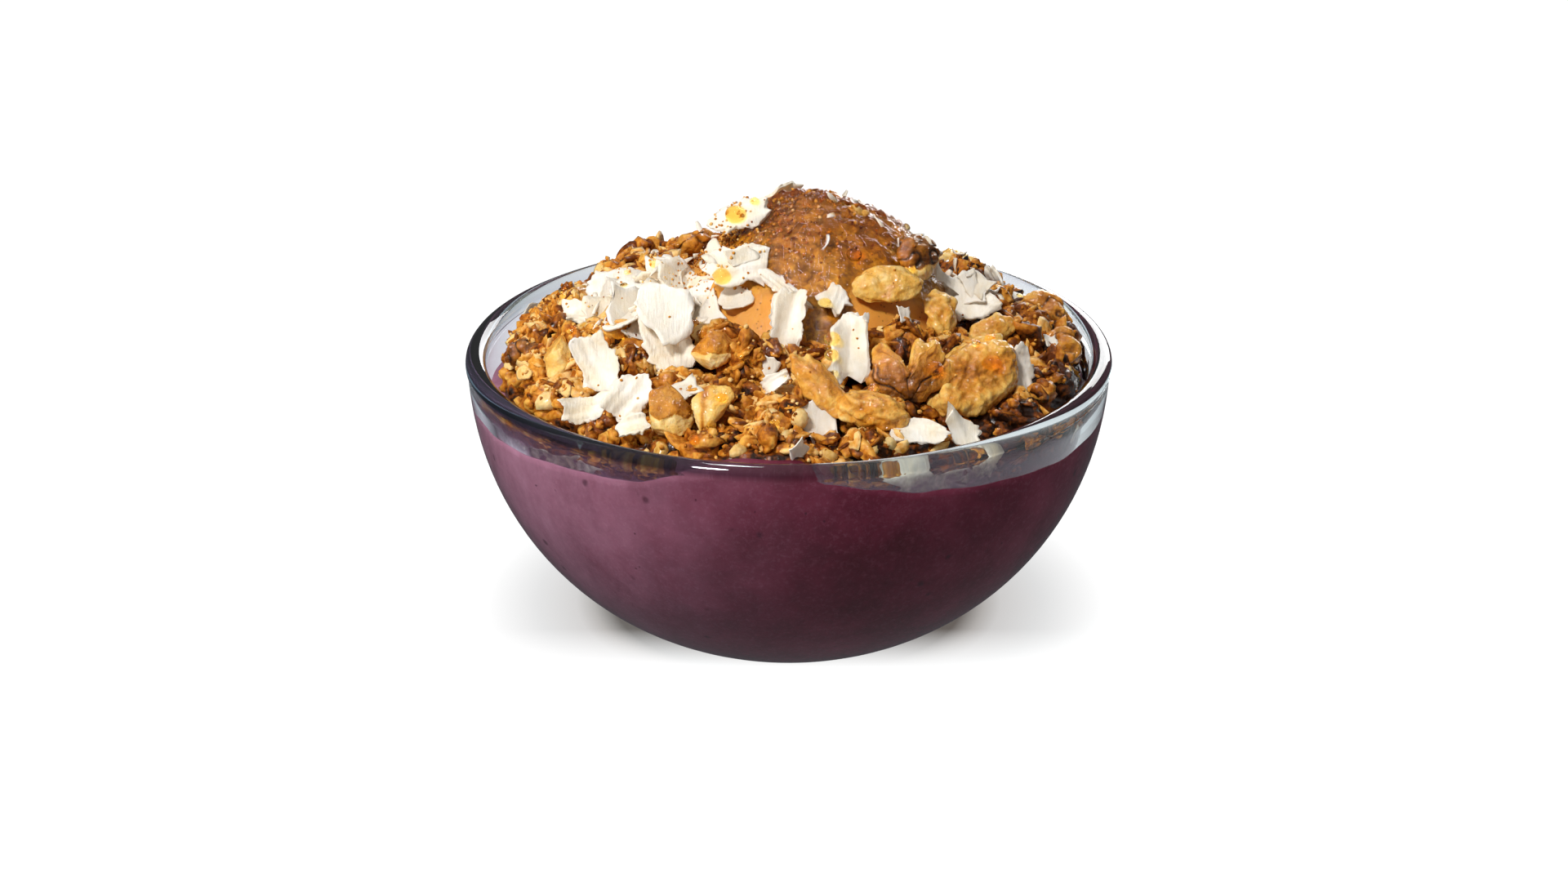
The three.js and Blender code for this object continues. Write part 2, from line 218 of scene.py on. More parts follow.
def makeCamera():
    tilt = math.radians(cameraSetup["elevation"])
    back = Vector((0, -math.cos(tilt), math.sin(tilt)))
    data = bpy.data.cameras.new("camera")
    data.lens = cameraSetup["lens"]
    data.clip_start = 0.01
    camera = bpy.data.objects.new("camera", data)
    camera.location = (cameraSetup["aim"] + back * cameraSetup["distance"]) * mm
    camera.rotation_euler = (math.pi / 2 - tilt, 0, 0)
    bpy.context.scene.collection.objects.link(camera)
    bpy.context.scene.camera = camera


def sightLine(column, row):
    # start and direction of the camera's ray through a point of its frame, in pixels
    tilt = math.radians(cameraSetup["elevation"])
    ahead = Vector((0, math.cos(tilt), -math.sin(tilt)))
    above = Vector((0, math.sin(tilt), math.cos(tilt)))
    pixels = cameraSetup["lens"] / cameraSetup["sensorWidth"] * cameraSetup["frameWidth"]
    right = (column - cameraSetup["frameWidth"] / 2) / pixels
    rise = (cameraSetup["frameHeight"] / 2 - row) / pixels
    direction = ahead + above * rise + Vector((right, 0, 0))
    return cameraSetup["aim"] - ahead * cameraSetup["distance"], direction.normalized()


def sodaLimeGlass():
    # Soda-lime glass, pressed and fire-polished: clear, with a faint blue-green in
    # its thick lip. Lamps shine through it, as they do through a thin wall.
    material, tree, place = newMaterial("sodaLimeGlass")
    # the lip's colour is darker on one side, a painted reflection of a black flag
    height = addNode(tree, "SeparateXYZ", {0: place}).outputs["Z"]
    lip = addNode(tree, "MapRange", {"Value": height, "From Min": 61.6 * mm, "From Max": 63.1 * mm})
    across = addNode(tree, "VectorMath", {"operation": "DOT_PRODUCT", 0: place, 1: (-0.85, -0.52, 0)})
    side = addNode(tree, "MapRange", {"Value": across.outputs["Value"], "From Max": 60 * mm})
    deep = addNode(tree, "Math", {"operation": "MULTIPLY", 0: lip, 1: side})
    colour = addNode(tree, "Mix", {
        "data_type": "RGBA", "Factor": deep, "A": linear("#ffffff"), "B": linear("#435e6e")})
    glass = addNode(tree, "BsdfPrincipled", {
        "Base Color": colour.outputs[2], "Roughness": 0, "IOR": 1.52, "Transmission Weight": 1})
    clear = addNode(tree, "BsdfTransparent", {"Color": linear("#f2f6f6")})
    inShadow = addNode(tree, "LightPath", {}).outputs["Is Shadow Ray"]
    surface = addNode(tree, "MixShader", {0: inShadow, 1: glass, 2: clear})
    depth = addNode(tree, "VolumeAbsorption", {"Color": linear("#8fc4cf"), "Density": 32})
    addNode(tree, "OutputMaterial", {"Surface": surface, "Volume": depth})
    return material


def frozenPuree():
    # Acai puree, blended and frozen: a deep wine purple body that looks wet where it
    # lies on the glass, pale lilac where frost has formed, paler still on the lit side as
    # painted light, with dark flecks of skin.
    material, tree, place = newMaterial("frozenPuree")
    clouds = addNode(tree, "TexNoise", {"Vector": place, "Scale": perMm(16), "Detail": 4, "Roughness": 0.55})
    body = addNode(tree, "ValToRGB", {"Fac": clouds, "stops": [
        (0.32, "#4b101e"), (0.5, "#591628"), (0.72, "#6c2638")]})
    # pale lilac in blotches that grow towards one side: frost, and painted light on the side the lamps light
    side = addNode(tree, "VectorMath", {"operation": "DOT_PRODUCT", 0: place, 1: (-0.93, -0.36, 0)})
    towardLitSide = addNode(tree, "MapRange", {
        "Value": side.outputs["Value"], "From Min": 2 * mm, "From Max": 76 * mm})
    paintedLitSide = addNode(tree, "Math", {"operation": "POWER", 0: towardLitSide, 1: 2.3})
    stretched = addNode(tree, "Mapping", {"Vector": place, "Scale": (1, 1, 0.65)})
    streak = addNode(tree, "TexNoise", {
        "Vector": stretched, "Scale": perMm(9), "Detail": 5, "Roughness": 0.6})
    patch = addNode(tree, "MapRange", {
        "Value": streak, "From Min": 0.25, "From Max": 0.7, "To Min": 0.5, "To Max": 1.15})
    frostBlotchesAndLitSide = addNode(tree, "Math", {"operation": "MULTIPLY", 0: paintedLitSide, 1: patch})
    dust = addNode(tree, "TexNoise", {"Vector": place, "Scale": perMm(1.2), "Detail": 5, "Roughness": 0.8})
    speckle = addNode(tree, "MapRange", {"Value": dust, "From Min": 0.5, "From Max": 0.85, "To Max": 0.2})
    frostAndPaintedLight = addNode(tree, "Math", {"operation": "ADD", "use_clamp": True, 0: frostBlotchesAndLitSide, 1: speckle})
    colour = addNode(tree, "Mix", {
        "data_type": "RGBA", "Factor": frostAndPaintedLight, "A": body, "B": linear("#b67b8f")}).outputs[2]
    # dark flecks of two sizes, bent out of round
    wobble = addNode(tree, "TexNoise", {"Vector": place, "Scale": perMm(2.5), "Detail": 3})
    bent = addNode(tree, "VectorMath", {
        "operation": "MULTIPLY_ADD", 0: wobble.outputs["Color"], 1: [1.6 * mm] * 3, 2: place})
    for size, reach in ((10, 0.11), (5.5, 0.075)):
        spots = addNode(tree, "TexVoronoi", {"Vector": bent, "Scale": perMm(size)})
        flecks = addNode(tree, "MapRange", {
            "Value": spots, "From Min": reach * 0.4, "From Max": reach, "To Min": 0.6, "To Max": 0})
        colour = addNode(tree, "Mix", {
            "data_type": "RGBA", "Factor": flecks, "A": colour, "B": linear("#2c0f19")}).outputs[2]
    relief = addNode(tree, "TexNoise", {"Vector": place, "Scale": perMm(4), "Detail": 3, "Roughness": 0.55})
    uneven = addNode(tree, "Bump", {"Height": relief, "Distance": 0.25 * mm})
    shader = addNode(tree, "BsdfPrincipled", {
        "Base Color": colour, "Roughness": 0.5, "Specular IOR Level": 0.08, "Normal": uneven,
        "Subsurface Weight": 0.12, "Subsurface Scale": 3 * mm, "Subsurface Radius": (1, 0.4, 0.5)})
    addNode(tree, "OutputMaterial", {"Surface": shader})
    return material


def toastedOat(name, stops, shine):
    # Rolled oats and crumbs baked in caramel: golden and matt, darker where the sugar
    # browned, with painted shade in the creases between crumbs and painted light on one
    # side of the heap, and a sticky shine in places.
    material, tree, place = newMaterial(name)
    tint = addNode(tree, "Attribute", {"attribute_name": "tint"}).outputs["Fac"]
    grains = addNode(tree, "TexVoronoi", {"Vector": place, "Scale": perMm(1.2)})
    mottle = addNode(tree, "TexNoise", {
        "Vector": place, "Scale": perMm(1.8), "Detail": 5, "Roughness": 0.65})
    # paler on one side of the heap: painted light on the side the lamps light
    paintedLightOnHeapSide = addNode(tree, "VectorMath", {"operation": "DOT_PRODUCT", 0: place, 1: (-2.6, -1, 0)})
    tintAndPaintedLight = addNode(tree, "Math", {"operation": "ADD", 0: paintedLightOnHeapSide.outputs["Value"], 1: tint})
    shade = addNode(tree, "Math", {"operation": "MULTIPLY_ADD", 0: mottle, 1: 1.1, 2: tintAndPaintedLight})
    # darker towards the edges of the cells: painted shade in the creases between crumbs
    withPaintedCreaseShade = addNode(tree, "Math", {"operation": "MULTIPLY_ADD", 0: grains, 1: -0.35, 2: shade})
    centred = addNode(tree, "Math", {"operation": "SUBTRACT", 0: withPaintedCreaseShade, 1: 0.46})
    colour = addNode(tree, "ValToRGB", {"Fac": centred, "stops": stops})
    patches = addNode(tree, "TexNoise", {"Vector": place, "Scale": perMm(4), "Detail": 2, "Roughness": 0.55})
    sticky = addNode(tree, "MapRange", {
        "Value": patches, "From Min": 0.48, "From Max": 0.6, "To Max": shine})
    fine = addNode(tree, "TexNoise", {"Vector": place, "Scale": perMm(0.5), "Detail": 3, "Roughness": 0.7})
    rough = addNode(tree, "Bump", {"Height": fine, "Distance": 0.12 * mm})
    grainy = addNode(tree, "Bump", {
        "invert": True, "Height": grains, "Distance": 0.4 * mm, "Strength": 0.5, "Normal": rough})
    drops = addNode(tree, "TexNoise", {"Vector": place, "Scale": perMm(1.6), "Detail": 3, "Roughness": 0.55})
    wet = addNode(tree, "Bump", {"Height": drops, "Distance": 0.5 * mm})
    shader = addNode(tree, "BsdfPrincipled", {
        "Base Color": colour, "Roughness": 0.5, "Specular IOR Level": 0.14, "Normal": grainy,
        "Coat Weight": sticky, "Coat Roughness": 0.06, "Coat IOR": 1.48, "Coat Normal": wet,
        "Subsurface Weight": 0.15, "Subsurface Scale": 1 * mm, "Subsurface Radius": (1, 0.5, 0.2)})
    addNode(tree, "OutputMaterial", {"Surface": shader})
    return material


def honeyedWalnut():
    # Walnut kernel under honey: cream where it broke, tan to brown skin, darker in its
    # furrows and paler on its lumps as painted shade and highlight, lit through at its
    # edges, and a clear amber coat of honey over all.
    material, tree, place = newMaterial("honeyedWalnut")
    tone = addNode(tree, "Attribute", {"attribute_name": "tint"}).outputs["Fac"]
    mottle = addNode(tree, "TexNoise", {
        "Vector": place, "Scale": perMm(1.3), "Detail": 6, "Roughness": 0.65})
    shade = addNode(tree, "Math", {"operation": "MULTIPLY_ADD", 0: mottle, 1: 0.55, 2: tone})
    centred = addNode(tree, "Math", {"operation": "SUBTRACT", 0: shade, 1: 0.28})
    colour = addNode(tree, "ValToRGB", {"Fac": centred, "stops": [
        (0.0, "#f3dfaa"), (0.2, "#ebc675"), (0.4, "#d99f46"), (0.6, "#ad7226"), (0.8, "#6e4212"),
        (1.0, "#2c1505")]})
    pools = addNode(tree, "TexNoise", {"Vector": place, "Scale": perMm(6), "Detail": 2, "Roughness": 0.55})
    honeyed = addNode(tree, "MapRange", {"Value": pools, "From Min": 0.38, "From Max": 0.55, "To Min": 0.35})
    pimples = addNode(tree, "TexNoise", {
        "Vector": place, "Scale": perMm(1.3), "Detail": 3, "Roughness": 0.6})
    pimpled = addNode(tree, "Bump", {"Height": pimples, "Distance": 0.45 * mm})
    fine = addNode(tree, "TexNoise", {"Vector": place, "Scale": perMm(0.6), "Detail": 3, "Roughness": 0.65})
    rough = addNode(tree, "Bump", {"Height": fine, "Distance": 0.12 * mm, "Normal": pimpled})
    drops = addNode(tree, "TexNoise", {"Vector": place, "Scale": perMm(1.5), "Detail": 2, "Roughness": 0.55})
    wet = addNode(tree, "Bump", {"Height": drops, "Distance": 1.1 * mm})
    shader = addNode(tree, "BsdfPrincipled", {
        "Base Color": colour, "Roughness": 0.45, "Specular IOR Level": 0.15, "Normal": rough,
        "Coat Weight": honeyed, "Coat Roughness": 0.04, "Coat IOR": 1.52, "Coat Normal": wet,
        "Coat Tint": linear("#f9e0ac"),
        "Subsurface Weight": 0.25, "Subsurface Scale": 2 * mm, "Subsurface Radius": (1, 0.6, 0.25)})
    addNode(tree, "OutputMaterial", {"Surface": shader})
    return material


def driedCoconut():
    # Dried coconut, shaved: matt white with a little cream, thin enough for light
    # to pass, with faint fibres.
    material, tree, place = newMaterial("driedCoconut")
    tone = addNode(tree, "Attribute", {"attribute_name": "tint"}).outputs["Fac"]
    mottle = addNode(tree, "TexNoise", {"Vector": place, "Scale": perMm(3.5), "Detail": 4, "Roughness": 0.6})
    shade = addNode(tree, "Math", {"operation": "MULTIPLY_ADD", 0: mottle, 1: 0.6, 2: tone})
    colour = addNode(tree, "ValToRGB", {"Fac": shade, "stops": [
        (0.25, "#f9f1e3"), (0.5, "#f0e2cb"), (0.75, "#e2c89c"), (1.0, "#d2aa70")]})
    chalky = addNode(tree, "TexNoise", {"Vector": place, "Scale": perMm(1.6), "Detail": 4, "Roughness": 0.6})
    rough = addNode(tree, "Bump", {"Height": chalky, "Distance": 0.2 * mm})
    drawn = addNode(tree, "Mapping", {"Vector": place, "Scale": (1, 0.2, 0.2), "Rotation": (0, 0.5, 0.6)})
    fibres = addNode(tree, "TexNoise", {"Vector": drawn, "Scale": perMm(0.5), "Detail": 3})
    fibrous = addNode(tree, "Bump", {"Height": fibres, "Distance": 0.16 * mm, "Normal": rough})
    shader = addNode(tree, "BsdfPrincipled", {
        "Base Color": colour, "Roughness": 0.5, "Specular IOR Level": 0.25, "Normal": fibrous,
        "Subsurface Weight": 0.3, "Subsurface Scale": 2.5 * mm, "Subsurface Radius": (1, 0.85, 0.68)})
    addNode(tree, "OutputMaterial", {"Surface": shader})
    return material


def groundPeanut():
    # Smooth peanut butter: tan-orange paste with an oily sheen and brown specks.
    material, tree, place = newMaterial("groundPeanut")
    spots = addNode(tree, "TexVoronoi", {"Vector": place, "Scale": perMm(1.6)})
    specks = addNode(tree, "MapRange", {
        "Value": spots, "From Min": 0.08, "From Max": 0.2, "To Min": 0.7, "To Max": 0})
    streaks = addNode(tree, "TexNoise", {"Vector": place, "Scale": perMm(9), "Detail": 3, "Roughness": 0.55})
    body = addNode(tree, "ValToRGB", {"Fac": streaks, "stops": [(0.35, "#e0963c"), (0.65, "#eaa648")]})
    speckled = addNode(tree, "Mix", {
        "data_type": "RGBA", "Factor": specks, "A": body, "B": linear("#7c400f")})
    # where honey soaked in, which is what "tint" holds here
    soaked = addNode(tree, "Attribute", {"attribute_name": "tint"}).outputs["Fac"]
    blotches = addNode(tree, "TexNoise", {
        "Vector": place, "Scale": perMm(2.8), "Detail": 6, "Roughness": 0.72})
    under = addNode(tree, "ValToRGB", {"Fac": blotches, "stops": [
        (0.38, "#2c1c02"), (0.46, "#6a4a06"), (0.54, "#a0740c"), (0.64, "#cca02a")]})
    colour = addNode(tree, "Mix", {
        "data_type": "RGBA", "Factor": soaked, "A": speckled.outputs[2], "B": under})
    relief = addNode(tree, "TexNoise", {
        "Vector": place, "Scale": perMm(1.4), "Detail": 3, "Roughness": 0.55})
    uneven = addNode(tree, "Bump", {"Height": relief, "Distance": 0.15 * mm})
    shader = addNode(tree, "BsdfPrincipled", {
        "Base Color": colour.outputs[2], "Roughness": 0.4, "Specular IOR Level": 0.3, "Normal": uneven,
        "Coat Weight": 0.12, "Coat Roughness": 0.2,
        "Subsurface Weight": 0.25, "Subsurface Scale": 2 * mm, "Subsurface Radius": (1, 0.5, 0.2)})
    addNode(tree, "OutputMaterial", {"Surface": shader})
    return material


def runnyHoney(name, colour, density):
    # Honey: clear amber with a wet shine, deeper in colour where it is thick.
    material, tree, place = newMaterial(name)
    flow = addNode(tree, "TexNoise", {"Vector": place, "Scale": perMm(1.8), "Detail": 4, "Roughness": 0.55})
    wavy = addNode(tree, "Bump", {"Height": flow, "Distance": 0.8 * mm})
    honey = addNode(tree, "BsdfPrincipled", {
        "Base Color": linear("#fff4d8"), "Roughness": 0.02, "IOR": 1.5, "Transmission Weight": 1,
        "Normal": wavy})
    clear = addNode(tree, "BsdfTransparent", {"Color": linear("#f8efc6")})
    inShadow = addNode(tree, "LightPath", {}).outputs["Is Shadow Ray"]
    surface = addNode(tree, "MixShader", {0: inShadow, 1: honey, 2: clear})
    depth = addNode(tree, "VolumeAbsorption", {"Color": linear(colour), "Density": density})
    addNode(tree, "OutputMaterial", {"Surface": surface, "Volume": depth})
    return material


def thinPuree():
    # A smear of puree left on the glass: lilac and half clear, in patches, paler where there is more of it,
    # partly a painted reflection of the white room.
    material, tree, place = newMaterial("thinPuree")
    amount = addNode(tree, "Attribute", {"attribute_name": "tint"}).outputs["Fac"]
    patches = addNode(tree, "TexNoise", {"Vector": place, "Scale": perMm(3), "Detail": 4, "Roughness": 0.6})
    patchy = addNode(tree, "MapRange", {"Value": patches, "From Min": 0.3, "From Max": 0.65, "To Min": 0.35})
    alpha = addNode(tree, "Math", {"operation": "MULTIPLY", 0: patchy, 1: amount})
    # paler where there is more: partly painted reflection
    colour = addNode(tree, "ValToRGB", {"Fac": amount, "stops": [
        (0.3, "#4c2c3c"), (0.78, "#6e4a5e"), (0.97, "#d0c2ce")]})
    shader = addNode(tree, "BsdfPrincipled", {
        "Base Color": colour, "Alpha": alpha, "Roughness": 0.6, "Specular IOR Level": 0.1})
    addNode(tree, "OutputMaterial", {"Surface": shader})
    return material


def opalAcrylic():
    # Opal acrylic, matt and lit from inside: a plain white table, with a shadow round the bowl painted into
    # its glow.
    material, tree, place = newMaterial("opalAcrylic")
    # dimmer towards the bowl's foot: a painted shadow
    reach = addNode(tree, "VectorMath", {"operation": "LENGTH", 0: place}).outputs["Value"]
    outward = addNode(tree, "MapRange", {"Value": reach, "From Min": 40 * mm, "From Max": 80 * mm})
    around = addNode(tree, "ValToRGB", {"Fac": outward, "stops": studio["floorGlowWithPaintedShadow"]})
    # brighter in front of the foot, where the painted shadow stops
    depth = addNode(tree, "SeparateXYZ", {0: place}).outputs["Y"]
    paintedLitFront = addNode(tree, "MapRange", {"Value": depth, "From Min": -18 * mm, "From Max": -38 * mm})
    glowWithPaintedShadow = addNode(tree, "Mix", {
        "data_type": "RGBA", "Factor": paintedLitFront, "A": around, "B": linear("#ffffff")})
    shader = addNode(tree, "BsdfPrincipled", {
        "Base Color": linear("#4c4c4c"), "Roughness": 0.9, "Specular IOR Level": 0.1,
        "Emission Color": glowWithPaintedShadow.outputs[2], "Emission Strength": 1})
    addNode(tree, "OutputMaterial", {"Surface": shader})
    return material


glassBowl = {
    "rimRadius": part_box("glass_bowl")[1].x / mm,
    "height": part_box("glass_bowl")[1].z / mm,
    "footRadius": 36,
    "recessRadius": 28,
    "recessDepth": 1.2,
    "wall": 4,
    "base": 5,  # height of its inner floor
    "floorEase": 1.5,  # how softly the inner wall runs out into the floor
    "lipSwell": 0.4,  # how much thicker the lip is than the wall, on each side
    "fullness": 2.1,  # the wall's curve, where 2 would be an ellipse
    "around": 192,
    "rings": 26,
    "lipRings": 15,
}
outerRadius = glassBowl["rimRadius"] - glassBowl["lipSwell"]
innerRadius = outerRadius - glassBowl["wall"]
footShare = glassBowl["footRadius"] / outerRadius
outerDepth = glassBowl["height"] / (1 - footShare ** glassBowl["fullness"]) ** (1 / glassBowl["fullness"])
innerDepth = outerDepth - glassBowl["wall"] * 1.1


def wallPoint(share, radius, depth):
    # on the wall's curve, from the axis at 0 to the upright at 1
    angle = share * math.pi / 2
    reach = radius * math.sin(angle) ** (2 / glassBowl["fullness"])
    drop = depth * max(0.0, math.cos(angle)) ** (2 / glassBowl["fullness"])
    return reach, glassBowl["height"] - drop


def shareAt(height, depth):
    drop = (glassBowl["height"] - height) / depth
    return 2 / math.pi * math.acos(min(1.0, drop ** (glassBowl["fullness"] / 2)))


def innerPoint(share):
    # the inner wall eases out into the flat floor
    ease = glassBowl["floorEase"]
    reach, height = wallPoint(share, innerRadius, innerDepth)
    return reach, glassBowl["base"] + ease * math.log1p(math.exp((height - glassBowl["base"]) / ease))


def innerReach(height):
    # the inner wall's radius at a height
    return wallPoint(shareAt(min(height, glassBowl["height"]), innerDepth), innerRadius, innerDepth)[0]


lipRadius = glassBowl["wall"] / 2 + glassBowl["lipSwell"]
lipHeight = glassBowl["height"] - lipRadius
lipStart = lipHeight - lipRadius / 2


def makeGlass(material):
    rimMiddle = glassBowl["rimRadius"] - lipRadius
    recess = glassBowl["recessRadius"]
    dish = glassBowl["recessDepth"]
    pastFlat = 0.25  # how far the lip's round runs on below its middle, in radians
    floorShare = 0.2  # where the inner wall has become the floor
    profile = [(0, dish), (recess * 0.8, dish), (recess * 0.93, dish * 0.6), (recess, 0)]
    outer = steps(glassBowl["rings"], shareAt(0, outerDepth), shareAt(lipStart, outerDepth))
    profile += [wallPoint(share, outerRadius, outerDepth) for share in outer]
    lip = steps(glassBowl["lipRings"], -pastFlat, math.pi + pastFlat)
    profile += [(rimMiddle + lipRadius * math.cos(a), lipHeight + lipRadius * math.sin(a)) for a in lip]
    inner = steps(glassBowl["rings"], shareAt(lipStart, innerDepth), floorShare)
    profile += [innerPoint(share) for share in inner]
    profile += [(0, innerPoint(floorShare)[1])]
    bm = lathe(profile, glassBowl["around"], 0.01)
    bmesh.ops.recalc_face_normals(bm, faces=bm.faces[:])
    return finishPiece(bm, "glass", material, ["glass_bowl"])


puree = {
    "intoWall": 0.3,  # reaches this far into the glass, so that no air shows between them
    "dome": 66,  # height of its middle, under the granola
    # height of its line on the glass, by compass angle
    "line": [(0, 53.5), (40, 57), (90, 58.5), (140, 56), (175, 54), (202, 54.4), (220, 55.3), (234, 56.5),
             (242, 57.6), (253, 61.4), (264, 63.9), (271, 63.8), (277, 60.1), (285, 57.5), (295, 55.7),
             (311, 53.5), (332, 52.3)],
    "around": 180,
    "rings": 90,
}


def pureeLine(angle):
    wave = 0.25 * math.sin(13 * angle + 0.5) + 0.15 * math.sin(29 * angle + 2)
    return between(puree["line"], angle) + wave


def pureeTop(x, y):
    # the puree's surface under the granola
    edge = pureeLine(math.atan2(y, x))
    inward = min(1, math.hypot(x, y) / (innerReach(edge) + puree["intoWall"]))
    return puree["dome"] + (edge - puree["dome"]) * inward ** 2


def makePuree(material):
    onGlass = 0.6  # share of the skin that lies on the glass
    poleShare = 0.15  # where its lower pole is on the wall's curve

    def place(angle, share):
        edge = pureeLine(angle)
        if share >= 1 - onGlass:
            level = 1 - (share - (1 - onGlass)) / onGlass
            reach, height = innerPoint(poleShare + (shareAt(edge, innerDepth) - poleShare) * level)
            reach = 0 if share > 0.999 else reach + puree["intoWall"]
            height -= puree["intoWall"] * (1 - level)
        else:
            reach = (innerReach(edge) + puree["intoWall"]) * share / (1 - onGlass)
            height = pureeTop(reach * math.cos(angle), reach * math.sin(angle))
        return polar(reach, angle, height)

    bm = skin(puree["around"], puree["rings"], place)
    return finishPiece(bm, "puree", material, ["acai_puree"])


smear = {
    # how far it reaches over the puree's line, by compass angle
    "rise": [(0, 5), (30, 1.5), (90, 1), (150, 0.5), (184, 0.5), (194, 9), (228, 9), (240, 6), (255, 1),
             (272, 1), (285, 4), (292, 7), (312, 7), (335, 7)],
    # how much of it there is, by compass angle: the more, the paler, partly a painted reflection of the
    # white room on the glass
    "strength": [(0, 0.6), (180, 0.5), (195, 0.98), (214, 0.98), (221, 0.72), (234, 0.72), (250, 0.5),
                 (285, 0.62), (300, 0.8), (315, 0.72), (335, 0.72)],
    "start": 0.4,  # how far below the puree's line it starts
    "thickness": 0.12,
    "around": 180,
    "rings": 12,
}


def makeSmear(material):
    bm = bmesh.new()
    bmesh.ops.create_grid(bm, x_segments=smear["around"], y_segments=smear["rings"], size=0.5)
    layer = bm.verts.layers.float.new("tint")
    for vertex in bm.verts:
        angle = (vertex.co.x + 0.5) * fullTurn
        share = vertex.co.y + 0.5
        rise = between(smear["rise"], angle) * (1 + 0.3 * ringGrain(angle, 1.2)) * share
        height = min(pureeLine(angle) - smear["start"] + rise, lipHeight)
        reach = innerReach(height) - smear["thickness"]
        vertex.co = polar(reach, angle, height) * mm
        vertex[layer] = between(smear["strength"], angle) * (1 - share) ** 0.35
    closeSkin(bm)
    bmesh.ops.solidify(bm, geom=bm.faces[:], thickness=smear["thickness"] * mm)
    return finishPiece(bm, "puree_smear", material)


scoopLow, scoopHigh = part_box("peanut_butter")
butter = {
    "centre": (scoopLow + scoopHigh) / 2 / mm,
    "radius": (scoopHigh.x - scoopLow.x) / 2 / mm,
    "top": scoopHigh.z / mm - 1.8,
    "brim": 74,  # where its foot meets the granola
    "foot": 71.5,
    "swirl": 0.7,
    "folds": 1.2,  # height of the smears left by the spoon
    "around": 150,
    "rings": 90,
}


def butterHeight(x, y):
    offset = Vector((x - butter["centre"].x, y - butter["centre"].y))
    share = min(1.0, offset.length / butter["radius"])
    swirl = math.sin(math.atan2(offset.y, offset.x) * 3 + share * 5) * share * (1 - share)
    dome = (butter["top"] - butter["brim"]) * (1 - share ** 2) ** 0.9
    relief = grain((x, y, 0), 9, 2) * butter["folds"] * (1 - share ** 4) + grain((x, y, 0), 3.2, 5) * 0.25
    return butter["brim"] + dome + butter["swirl"] * swirl + relief - 0.5


def makeButter(material):
    topShare = 0.75  # share of the skin that is its top
    sideShare = 0.4  # share of the rest that is its side, before its underside
    middle = butter["centre"]

    def place(angle, share):
        reach = butter["radius"] * min(1.0, share / topShare)
        x = middle.x + reach * math.cos(angle)
        y = middle.y + reach * math.sin(angle)
        if share <= topShare:
            return Vector((x, y, butterHeight(x, y)))
        down = (share - topShare) / (1 - topShare)
        inward = 1 - max(0.0, down - sideShare) / (1 - sideShare)
        x = middle.x + (x - middle.x) * inward
        y = middle.y + (y - middle.y) * inward
        sideTop = butterHeight(middle.x + butter["radius"], middle.y)
        return Vector((x, y, sideTop + (butter["foot"] - sideTop) * min(1.0, down / sideShare)))

    bm = skin(butter["around"], butter["rings"], place)
    setTint(bm, [honeySoak(vertex.co / mm) for vertex in bm.verts])
    return finishPiece(bm, "peanut_butter_scoop", material, ["peanut_butter"])


honeySheet = {
    "centre": Vector((8, 0)),
    # how far it runs from its centre, by compass angle
    "reach": [(0, 27), (40, 22), (90, 17), (140, 16), (180, 20), (205, 22), (230, 23.5), (250, 26),
              (262, 33), (270, 36), (278, 30), (288, 22), (305, 22), (330, 27)],
    "thickness": 1.5,
    "ridges": 1.6,
    "crown": 1.0,  # how much lumpier it is over the nuts at the top
    "soak": 0.85,  # how much of the peanut butter's own colour it hides
    "colour": "#f0da00",
    "density": 540,
    "around": 240,
    "rings": 190,
}


def honeyReach(angle):
    return between(honeySheet["reach"], angle) + 2 * ringGrain(angle, 2.5)


def honeySoak(point):
    x = point.x - honeySheet["centre"].x
    y = point.y - honeySheet["centre"].y
    inside = 1 - math.hypot(x, y) / honeyReach(math.atan2(y, x))
    return honeySheet["soak"] * clamp(0.5 + inside * 6)


def makeHoneySheet(material):
    def place(angle, share):
        reach = honeyReach(angle)
        onTop = share <= 0.5
        out = share * 2 if onTop else 2 - share * 2
        x = honeySheet["centre"].x + reach * out * math.cos(angle)
        y = honeySheet["centre"].y + reach * out * math.sin(angle)
        base = butterHeight(x, y)
        rounded = (1 - out ** 6) ** 0.5
        # ridges run down the slope, and it is lumpy with what it has run over
        ridges = abs(grain((angle * 16, reach * out / 5, 0), 3.4, 3)) ** 0.7
        lumps = 0.8 * grain((x, y, base), 3.0, 3) + 0.32 * grain((x, y, base), 1.2, 8)
        lumps += honeySheet["crown"] * abs(grain((x, y, 0), 6, 4)) * (1 - out ** 2)
        depth = honeySheet["thickness"] + honeySheet["ridges"] * ridges * out + lumps
        return Vector((x, y, base + rounded * depth if onTop else base - 0.5 * rounded))

    bm = skin(honeySheet["around"], honeySheet["rings"], place)
    return finishPiece(bm, "honey_glaze", material)


honeyBeads = {
    # where each shows in the frame (column, row) and its size
    "seen": [(901, 264, 5.0), (884, 338, 4.2), (757, 409, 2.8), (883, 487, 2.6), (800, 324, 2.2),
             (862, 303, 3.4), (1045, 313, 3.6), (1143, 452, 4.2), (1214, 446, 4.4), (1020, 415, 3.6),
             (1018, 436, 3.2), (1021, 458, 2.2), (700, 404, 2.4), (851, 539, 2.6), (1115, 330, 2.6),
             (1010, 372, 3.0), (870, 520, 2.4)],
    "seed": 23,
    "loose": 46,  # smaller ones, anywhere on the heap
    "looseSize": (1.0, 2.6),
    "spread": 64,
    "steep": 55,
    "flatness": 0.62,
    "colour": "#eed800",
    "density": 440,
}


